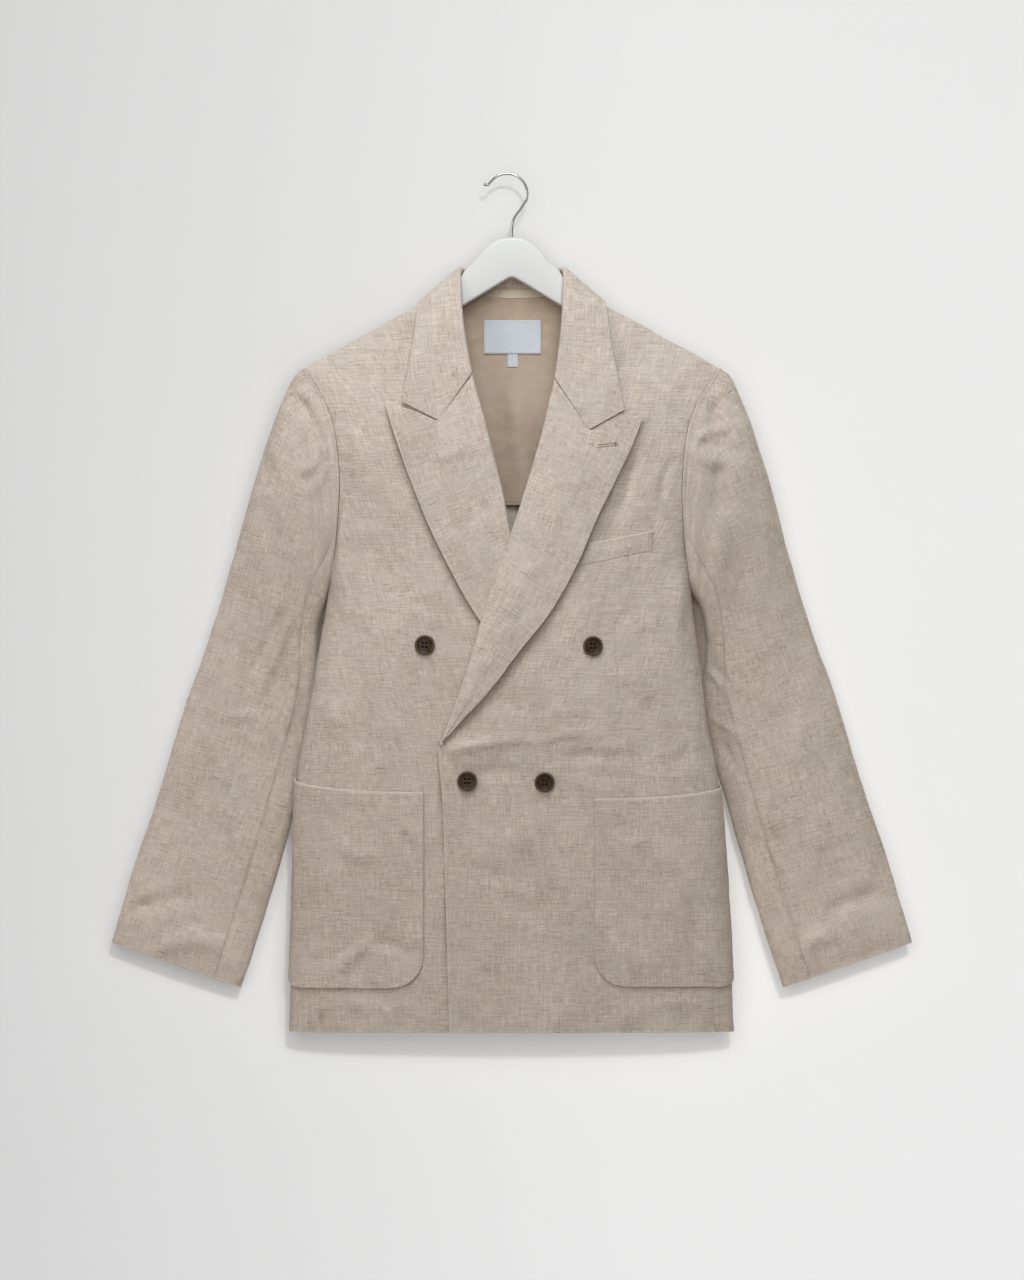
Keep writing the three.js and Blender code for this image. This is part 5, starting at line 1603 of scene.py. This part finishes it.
class BLAZER_OT_fronts(Operator):
    """Build the two fronts, with their darts and shoulder seams"""

    bl_idname = "blazer.fronts"
    bl_label = "Fronts"
    bl_options = {"REGISTER", "UNDO"}

    def execute(self, context):
        settings = context.scene.blazer
        facing = (0, -1, 0)
        for side, name in SIDES:
            u, v = np.meshgrid(front_columns(), stretches((0, 2.2, 14), (2.2, 10, 78), (10, 20, 128)))
            points = front_point(side, u, v)
            normals = grid_normals(points, facing)
            x, z = points[..., 0], points[..., 2]
            relief = body_relief(settings, points, normals) * off_armhole(u, v - FRONT_ARM_ROWS)
            top, foot, _, _ = DARTS[side]
            drawn = smooth((top - z) / 60) * smooth((z - foot + 8) / 8)
            relief += drawn * groove(x - dart_x(side, z), DART_DEPTH, DART_WIDTH)
            outward = np.clip((np.abs(x) - 80) / 140, 0, 1)
            shoulder_seam_z = ridge_height(x) - SHOULDER_SEAM_DROP * mix(1, 0.35, outward)
            relief += groove(z - shoulder_seam_z, 0.6, 1.1)
            relief += groove((1 - u) * PANEL_ACROSS, 0.5, 5) * (v < 9)
            past_edge = x - front_edge_x(1, z)
            # The left front's edge presses a line into the right front, and has one of its own.
            # Along the first line the right front is also painted darker, as the shadow of that edge, and below
            # the break each front's free inner edge is painted paler, as highlight.
            below_lap = groove(past_edge + 1.2, 1.0, 1.9) * smooth((-400 - z) / 40) * (side < 0)
            relief += 0.8 * below_lap + (v > BREAK_ROW) * (side > 0) * groove(past_edge - 2.4, 0.4, 0.9)
            relief += 1.4 * np.sin(x / 7.5 + 2 * np.sin(x / 31)) * bell(z - HEM_Z - 10, 11)
            edge = np.where(v[:, 0] > BREAK_ROW, 0.4, SEWN)
            points = raised(points, normals, relief)
            pale = edged(points, SEWN, FREE, edge, SEWN) + 0.7 * below_lap
            uv = grain(points, side * GRAIN_STARTS["front"], side)
            linen_piece(settings, f"front_{name}", "front", points, facing, uv, pale, ["hanger"], -SEAM_OVERLAP)
        return {"FINISHED"}


class BLAZER_OT_sides(Operator):
    """Build the two side panels under the arms"""

    bl_idname = "blazer.sides"
    bl_label = "Side Panels"
    bl_options = {"REGISTER", "UNDO"}

    def execute(self, context):
        settings = context.scene.blazer
        for side, name in SIDES:
            turns = stretches((FRONT_SEAM_TURN, BACK_SEAM_TURN, 26))
            turn, v = np.meshgrid(turns, stretches((0, 1, 10), (1, 10, 120)))
            points = side_point(side, turn, v)
            normals = grid_normals(points, (side, 0, 0))
            points = raised(points, normals, body_relief(settings, points, normals) * smooth(v / 0.4))
            uv = grain(points, side * GRAIN_STARTS["side"], side)
            pale = edged(points, SEWN, FREE, SEWN, SEWN)
            under = [f"front_{name}_cloth", f"back_{name}_cloth"]
            linen_piece(settings, f"side_{name}", "side", points, (side, 0, 0), uv, pale, under, -SEAM_OVERLAP)
        return {"FINISHED"}


class BLAZER_OT_backs(Operator):
    """Build the two halves of the back"""

    bl_idname = "blazer.backs"
    bl_label = "Backs"
    bl_options = {"REGISTER", "UNDO"}

    def execute(self, context):
        settings = context.scene.blazer
        facing = (0, 1, 0)
        for side, name in SIDES:
            u, v = np.meshgrid(stretches((0, 1, 62)), stretches((0, 2, 9), (2, 9, 68), (9, 19, 118)))
            points = back_point(side, u, v)
            normals = grid_normals(points, facing)
            relief = body_relief(settings, points, normals) * off_armhole(u, v - BACK_ARM_ROWS)
            points = raised(points, normals, relief)
            uv = grain(points, side * GRAIN_STARTS["back"], side)
            pale = edged(points, SEWN, FREE, SEWN, SEWN)
            linen_piece(settings, f"back_{name}", "back", points, facing, uv, pale, ["hanger"], -SEAM_OVERLAP)
        return {"FINISHED"}


class BLAZER_OT_sleeves(Operator):
    """Build the two sleeves, each of a top and an under piece"""

    bl_idname = "blazer.sleeves"
    bl_label = "Sleeves"
    bl_options = {"REGISTER", "UNDO"}

    def execute(self, context):
        settings = context.scene.blazer
        for side, name in SIDES:
            pieces = (
                ("top", HIND_SEAM - 360, FOREARM_SEAM, (side, -0.5, 0)),
                ("under", FOREARM_SEAM, HIND_SEAM, (-side, 0.5, 0)),
            )
            for part, start, end, facing in pieces:
                rings = stretches((0, 1, 14), (1, 4, 38), (4, 10, 128))
                turn, ring = np.meshgrid(stretches((start, end, 62)), rings)
                points = sleeve_point(side, turn, ring)
                normals = grid_normals(points, facing)
                seam = groove(turn - FOREARM_SEAM, 1.0, 1.8) * smooth(ring / 2)
                points = raised(points, normals, sleeve_relief(settings, side, turn, ring, points, normals, seam))
                # In front, a little above the cuff's edge, a band is painted paler, as highlight, and the forearm
                # seam's groove is painted darker, as shade.
                cuff_highlight = 0.42 * bell(ring - 9.45, 0.36) * smooth((150 - np.abs(turn - 60)) / 90)
                pale = np.maximum(edged(points, SEWN, FREE, SEWN, SEWN), cuff_highlight) + 0.4 * seam
                uv = grain_along(points, points.shape[1] // 2) + [side * 1.3 + (part == "top"), 0]
                under = [f"front_{name}_cloth", f"back_{name}_cloth"]
                linen_piece(settings, f"{part}_sleeve_{name}", f"{part}_sleeve", points, facing, uv, pale, under,
                            -SEAM_OVERLAP)
        return {"FINISHED"}


class BLAZER_OT_lapels(Operator):
    """Build the two peak lapels and the collar"""

    bl_idname = "blazer.lapels"
    bl_label = "Lapels and Collar"
    bl_options = {"REGISTER", "UNDO"}

    def execute(self, context):
        settings = context.scene.blazer
        for side, name in SIDES:
            u, _, points = shaped_lapel(settings, side)
            uv = grain_along(points, points.shape[1] * 2 // 3) + [3.1 + side, 0]
            sewn = u[0] < 1.5
            # The roll is painted paler along its fold, as highlight.
            pale = edged(points, np.where(sewn, SEWN, FREE), FREE, SEWN, FREE) + 0.26 * bell(u - 0.85, 0.4)
            hold = edged(points, np.where(sewn, -GORGE_OVERLAP, 0), 0, 0, 0)
            linen_piece(settings, f"lapel_{name}", "lapel", points, (0, -1, 0), uv, pale,
                        [f"front_{name}_cloth"], hold, FACING)
        rows = stretches((-10, -9, 12), (-9, -6, 30), (-6, 6, 84), (6, 9, 30), (9, 10, 12))
        u, row = np.meshgrid(stretches((0, 1, 10), (1, 3, 14), (3, 4, 22)), rows)
        points = collar_point(u, row)
        x, z = points[..., 0].copy(), points[..., 2].copy()
        points[..., 1] -= front_relief(settings, x, z) * smooth((-140 - z) / 30) * (u > 1)
        spine = collar_line(COLLAR_CREASE, row[:, 0])
        uv = grain_along(points, points.shape[1] // 2, turned=True, spine=spine) + [6.3, 0]
        pale = edged(points, SEWN, SEWN, SEWN, FREE)
        hold = edged(points, -GORGE_OVERLAP, -GORGE_OVERLAP, 0, 0)
        under = ["back_left_cloth", "back_right_cloth", "lapel_left_cloth", "lapel_right_cloth"]
        linen_piece(settings, "collar", "collar", points, (0, 0, 1), uv, pale, under, hold, FACING)
        return {"FINISHED"}


class BLAZER_OT_pockets(Operator):
    """Build the patch pockets and the breast welt"""

    bl_idname = "blazer.pockets"
    bl_label = "Pockets and Welt"
    bl_options = {"REGISTER", "UNDO"}

    def execute(self, context):
        settings = context.scene.blazer
        facing = (0, -1, 0)
        for side, name in SIDES:
            tall = POCKETS[side]["mouth"] - POCKETS[side]["bottom"]
            straight = 1 - POCKET_CORNER / tall
            round_rows = 1 - POCKET_CORNER * (1 - np.cos(np.radians(POCKET_CORNER_ANGLES))) / tall
            rows = stretches((0, 0.024, 6), (0.024, straight, 60))[:-2]
            rows = np.concatenate([rows, [straight], round_rows])
            u, v = np.meshgrid(stretches((0, 1, 66)), rows)
            points = pocket_point(side, u, v)
            normals = grid_normals(points, facing)
            relief = body_relief(settings, points, normals)
            # The mouth stands a little open, and its folded edge is painted paler, as highlight.
            relief += 0.9 * np.exp(-v * tall / 16) * smooth(u / 0.3) * smooth((0.85 - u) / 0.4)
            mouth = smooth((2.8 - v * tall) / 1.0) * 1.3
            pale = np.maximum(edged(points, 1, SEWN, SEWN, SEWN), mouth)
            points = raised(points, normals, relief)
            start = side * (GRAIN_STARTS["pocket"] + pocket_corner(side, rows))[:, None]
            uv = grain(points, start, side)
            linen_piece(settings, f"pocket_{name}", "pocket", points, facing, uv, pale, [f"front_{name}_cloth"])
        u, v = np.meshgrid(stretches((0, 1, 30)), stretches((0, 1, 12)))
        points = welt_point(u, v)
        points[..., 1] -= front_relief(settings, points[..., 0], points[..., 2])
        uv = grain_along(points, points.shape[1] // 2) + [8.8, 0]
        # Its folded top edge is painted paler, as highlight, and its sewn edges darker, as shade.
        pale = edged(points, 0.9, SEWN, SEWN, SEWN)
        linen_piece(settings, "chest_welt", "welt", points, facing, uv, pale, ["front_left_cloth"])
        return {"FINISHED"}


class BLAZER_OT_neck(Operator):
    """Build what shows inside the neck: the lining, the blank label and tab, and the hanging loop"""

    bl_idname = "blazer.neck"
    bl_label = "Lining, Label and Loop"
    bl_options = {"REGISTER", "UNDO"}

    def execute(self, context):
        settings = context.scene.blazer

        def satin_piece(name, node_name, kind, points, thickness, material, rests_on):
            uv, pale = grain(points), edged(points)
            sheet(shell(name, points, thickness, (0, -1, 0), uv, material, pale), node_name, kind, *rests_on)

        lining_satin = satin("Lining Satin", settings.lining_colour, (14, 90, 10))
        u, v = np.meshgrid(stretches((-1, 1, 110)), stretches((0, 1, 70)))
        satin_piece("lining_cloth", "back_lining", "lining", lining_point(settings, u, v),
                    LINING["thickness"], lining_satin, ["back_left_cloth", "back_right_cloth"])
        label_satin = satin("Label Satin", settings.label_colour, (0.7, 0.5, 4))
        u, v = np.meshgrid(stretches((0, 1, 26)), stretches((0, 1, 18)))
        for name, size in (("label", LABEL), ("size_tab", SIZE_TAB)):
            satin_piece(f"{name}_cloth", name, name, tab_point(settings, size, u, v), size["thickness"],
                        label_satin, ["lining_cloth"])
        u, v = np.meshgrid(stretches((0, 1, 44)), stretches((0, 1, 10)))
        tape = satin("Loop Satin", settings.loop_colour, (5, 3, 0.6))
        satin_piece("hanging_loop_tape", "hanging_loop", "loop", loop_point(u, v), LOOP["thickness"], tape,
                    ["collar_cloth"])
        return {"FINISHED"}


class BLAZER_OT_buttons(Operator):
    """Build the four horn buttons and the thread that holds them"""

    bl_idname = "blazer.buttons"
    bl_label = "Buttons"
    bl_options = {"REGISTER", "UNDO"}

    def execute(self, context):
        settings = context.scene.blazer
        horn = shared_material("Horn", make_horn, settings)
        thread = thread_material("Button Thread", shade(settings.horn_dark, 0.6))
        vertices, faces, values = button_shape()
        for name, (x, z, side, tilt) in BUTTONS.items():
            seat, normal = on_front(settings, side, x, z, BUTTON_STAND + tilt * BUTTON_FOOT)
            facing = unit(normal + np.array([0, 0, tilt]))
            across = unit(np.cross([0, 0, 1.0], facing))
            axes = np.stack([across, np.cross(facing, across), facing])
            button = mesh_object(f"{name}_horn", vertices @ axes + seat, faces, horn, None, values)
            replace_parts(button, name)
            paths = [path @ axes + seat for path in button_threads()]
            tubes(f"{name}_thread", paths, 0.2, thread)
        return {"FINISHED"}


class BLAZER_OT_stitching(Operator):
    """Build the buttonholes and the stitches that show"""

    bl_idname = "blazer.stitching"
    bl_label = "Stitching"
    bl_options = {"REGISTER", "UNDO"}

    def execute(self, context):
        settings = context.scene.blazer
        thread = thread_material("Stitching Thread", settings.thread_colour)
        stitch_lapel_buttonhole(settings, thread)
        # The end of the buttonhole behind the lower right button.
        hole, _ = on_front(settings, 1, np.linspace(-56.5, -48, 8), np.full(8, -635.6), 0.25)
        lips = [hole + np.array([0, 0, dz]) for dz in (-0.8, 0.8)]
        tubes("front_buttonhole_thread", lips, 0.45, thread)
        # Two short rows of pick stitches at the outer end of the welt, and the lining's hem.
        paths = []
        for inset in (1.6, 4.2):
            u = np.full(12, 1 - inset / (WELT["outer"] - WELT["inner_top"]))
            line = welt_point(u, np.linspace(0.08, 0.92, 12))
            line[:, 1] -= front_relief(settings, line[:, 0], line[:, 2])
            paths += stitches(line, front_normal(1, line[:, 0], line[:, 2]), 1.7, 1.5, 0.28)
        hem = lining_point(settings, np.linspace(-0.42, 0.42, 60), np.full(60, HEM_STITCHES_V))
        paths += stitches(hem, FORWARD, 2.2, 1.1, 0.2)
        tubes("lining_and_welt_stitches", paths, 0.24, thread, sides=6)
        paths = []
        t = np.linspace(0, 1, 40)
        for u0, v0, u1, v1 in LABEL_STITCH_LINES:
            line = tab_point(settings, LABEL, mix(u0, u1, t), mix(v0, v1, t))
            paths += stitches(line, FORWARD, 1.9, 0.7, 0.14)
        pale = thread_material("Label Thread", shade(settings.label_colour, 0.8))
        tubes("label_stitches", paths, 0.2, pale, sides=6)
        paths = []
        for u0 in (0.035, 0.115):
            line = loop_point(np.full(12, u0), np.linspace(0.1, 0.9, 12))
            paths += stitches(line, FORWARD, 1.9, 0.6, 0.16)
        brown = thread_material("Loop Thread", shade(settings.thread_colour, 0.6))
        tubes("loop_stitches", paths, 0.24, brown, sides=6)
        return {"FINISHED"}


class BLAZER_OT_hanger(Operator):
    """Build the painted hanger"""

    bl_idname = "blazer.hanger"
    bl_label = "Hanger"
    bl_options = {"REGISTER", "UNDO"}

    def execute(self, context):
        settings = context.scene.blazer
        paint = smooth_material("Hanger Paint", shade(settings.hanger_colour, 0.985), settings.hanger_colour,
                                0.34, 0.46, (9, 9, 9), 0.05, {"Coat Weight": 0.15})
        rings = hanger_rings()
        faces = capped_rings(*rings.shape[:2])
        board = mesh_object("hanger_board", rings.reshape(-1, 3), faces, paint)
        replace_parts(board, "hanger")
        return {"FINISHED"}


class BLAZER_OT_hook(Operator):
    """Build the chrome hook"""

    bl_idname = "blazer.hook"
    bl_label = "Hook"
    bl_options = {"REGISTER", "UNDO"}

    def execute(self, context):
        chrome = smooth_material("Chrome", (0.36, 0.36, 0.37), (0.46, 0.46, 0.47), 0.10, 0.20, (3, 3, 3),
                                 constants={"Metallic": 1.0})
        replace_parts(tubes("hook_wire", [hook_line()], WIRE, chrome, sides=20, blunt=True), "hook")
        # A ball on its end, as rings about the X axis.
        tip_x, tip_z = HOOK_TIP[0]
        turn = np.linspace(0, math.pi, BALL_RINGS + 2)[1:-1, None]
        circle = np.linspace(0, 2 * math.pi, BALL_SIDES, endpoint=False)
        radius = TIP_BALL * np.sin(turn)
        rings = np.stack([
            tip_x - TIP_BALL * np.cos(turn) + 0 * circle, radius * np.cos(circle), tip_z + radius * np.sin(circle),
        ], -1)
        faces = [face[::-1] for face in capped_rings(BALL_RINGS, BALL_SIDES)]
        mesh_object("hook_ball", rings.reshape(-1, 3), faces, chrome)
        return {"FINISHED"}


class BLAZER_OT_stage(Operator):
    """Build the wall, the floor, the lights and the camera"""

    bl_idname = "blazer.stage"
    bl_label = "Stage"
    bl_options = {"REGISTER", "UNDO"}

    def execute(self, context):
        settings = context.scene.blazer
        scene = context.scene

        def staged(name, data):
            made = bpy.data.objects.new(name, data)
            bpy.context.collection.objects.link(made)
            return made

        lit = {name: bpy.data.collections.new(name) for name in ("wall", "all else")}
        for name, corners in (("wall", WALL_CORNERS), ("floor", FLOOR_CORNERS)):
            mesh = bpy.data.meshes.new(name)
            mesh.from_pydata(corners, [], [(0, 1, 2, 3)])
            mesh.materials.append(shared_material(name.capitalize(), make_wall, settings))
            made = staged(name, mesh)
            if name == "wall":
                lit["wall"].objects.link(made)
            lit["all else"].objects.link(made)
        for held in lit["all else"].collection_objects:
            held.light_linking.link_state = "EXCLUDE"
        scene.world = bpy.data.worlds.new("Studio")
        scene.world.use_nodes = True
        sky = scene.world.node_tree
        feed(sky, sky.nodes["Background"].inputs, {"Color": (0.97, 0.98, 1.0, 1), "Strength": 0.06})
        for name, place, aim, size, power, tint, lights in LIGHTS:
            light = bpy.data.lights.new(name, "AREA")
            light.size, light.energy, light.color = size, power, tint
            made = staged(name, light)
            made.location = place
            away = np.array(place) - np.array(aim)
            made.rotation_euler = (
                math.atan2(math.hypot(away[0], away[1]), away[2]), 0, math.atan2(away[0], -away[1]),
            )
            if lights in lit:
                made.light_linking.receiver_collection = lit[lights]
            light.use_shadow = name != "wash"
            if name == "behind":
                light.cycles.max_bounces = 0
        camera = bpy.data.cameras.new("camera")
        camera.lens = 36 * CAMERA_AWAY / VIEW_HEIGHT
        camera.clip_end = 100
        made = staged("camera", camera)
        made.location = (0, -CAMERA_AWAY, VIEW_MIDDLE_Z)
        made.rotation_euler = (math.pi / 2, 0, 0)
        scene.camera = made
        scene.view_settings.view_transform = "Standard"
        return {"FINISHED"}


OPERATORS = (
    BLAZER_OT_fronts,
    BLAZER_OT_sides,
    BLAZER_OT_backs,
    BLAZER_OT_sleeves,
    BLAZER_OT_lapels,
    BLAZER_OT_pockets,
    BLAZER_OT_neck,
    BLAZER_OT_buttons,
    BLAZER_OT_stitching,
    BLAZER_OT_hanger,
    BLAZER_OT_hook,
    BLAZER_OT_stage,
)


class BLAZER_PT_panel(Panel):
    """The blazer's settings and its operators"""

    bl_idname = "BLAZER_PT_panel"
    bl_label = "Blazer"
    bl_space_type = "VIEW_3D"
    bl_region_type = "UI"
    bl_category = "Blazer"

    def draw(self, context):
        for name in BlazerSettings.__annotations__:
            self.layout.prop(context.scene.blazer, name)
        for operator in OPERATORS:
            self.layout.operator(operator.bl_idname)


def register():
    bpy.utils.register_class(BlazerSettings)
    bpy.types.Scene.blazer = PointerProperty(type=BlazerSettings)
    for made in (*OPERATORS, BLAZER_PT_panel):
        bpy.utils.register_class(made)


def unregister():
    for made in (BLAZER_PT_panel, *reversed(OPERATORS)):
        bpy.utils.unregister_class(made)
    del bpy.types.Scene.blazer
    bpy.utils.unregister_class(BlazerSettings)


def main():
    register()
    for operator in OPERATORS:
        group_name, name = operator.bl_idname.split(".")
        getattr(getattr(bpy.ops, group_name), name)()


if __name__ == "__main__":
    main()
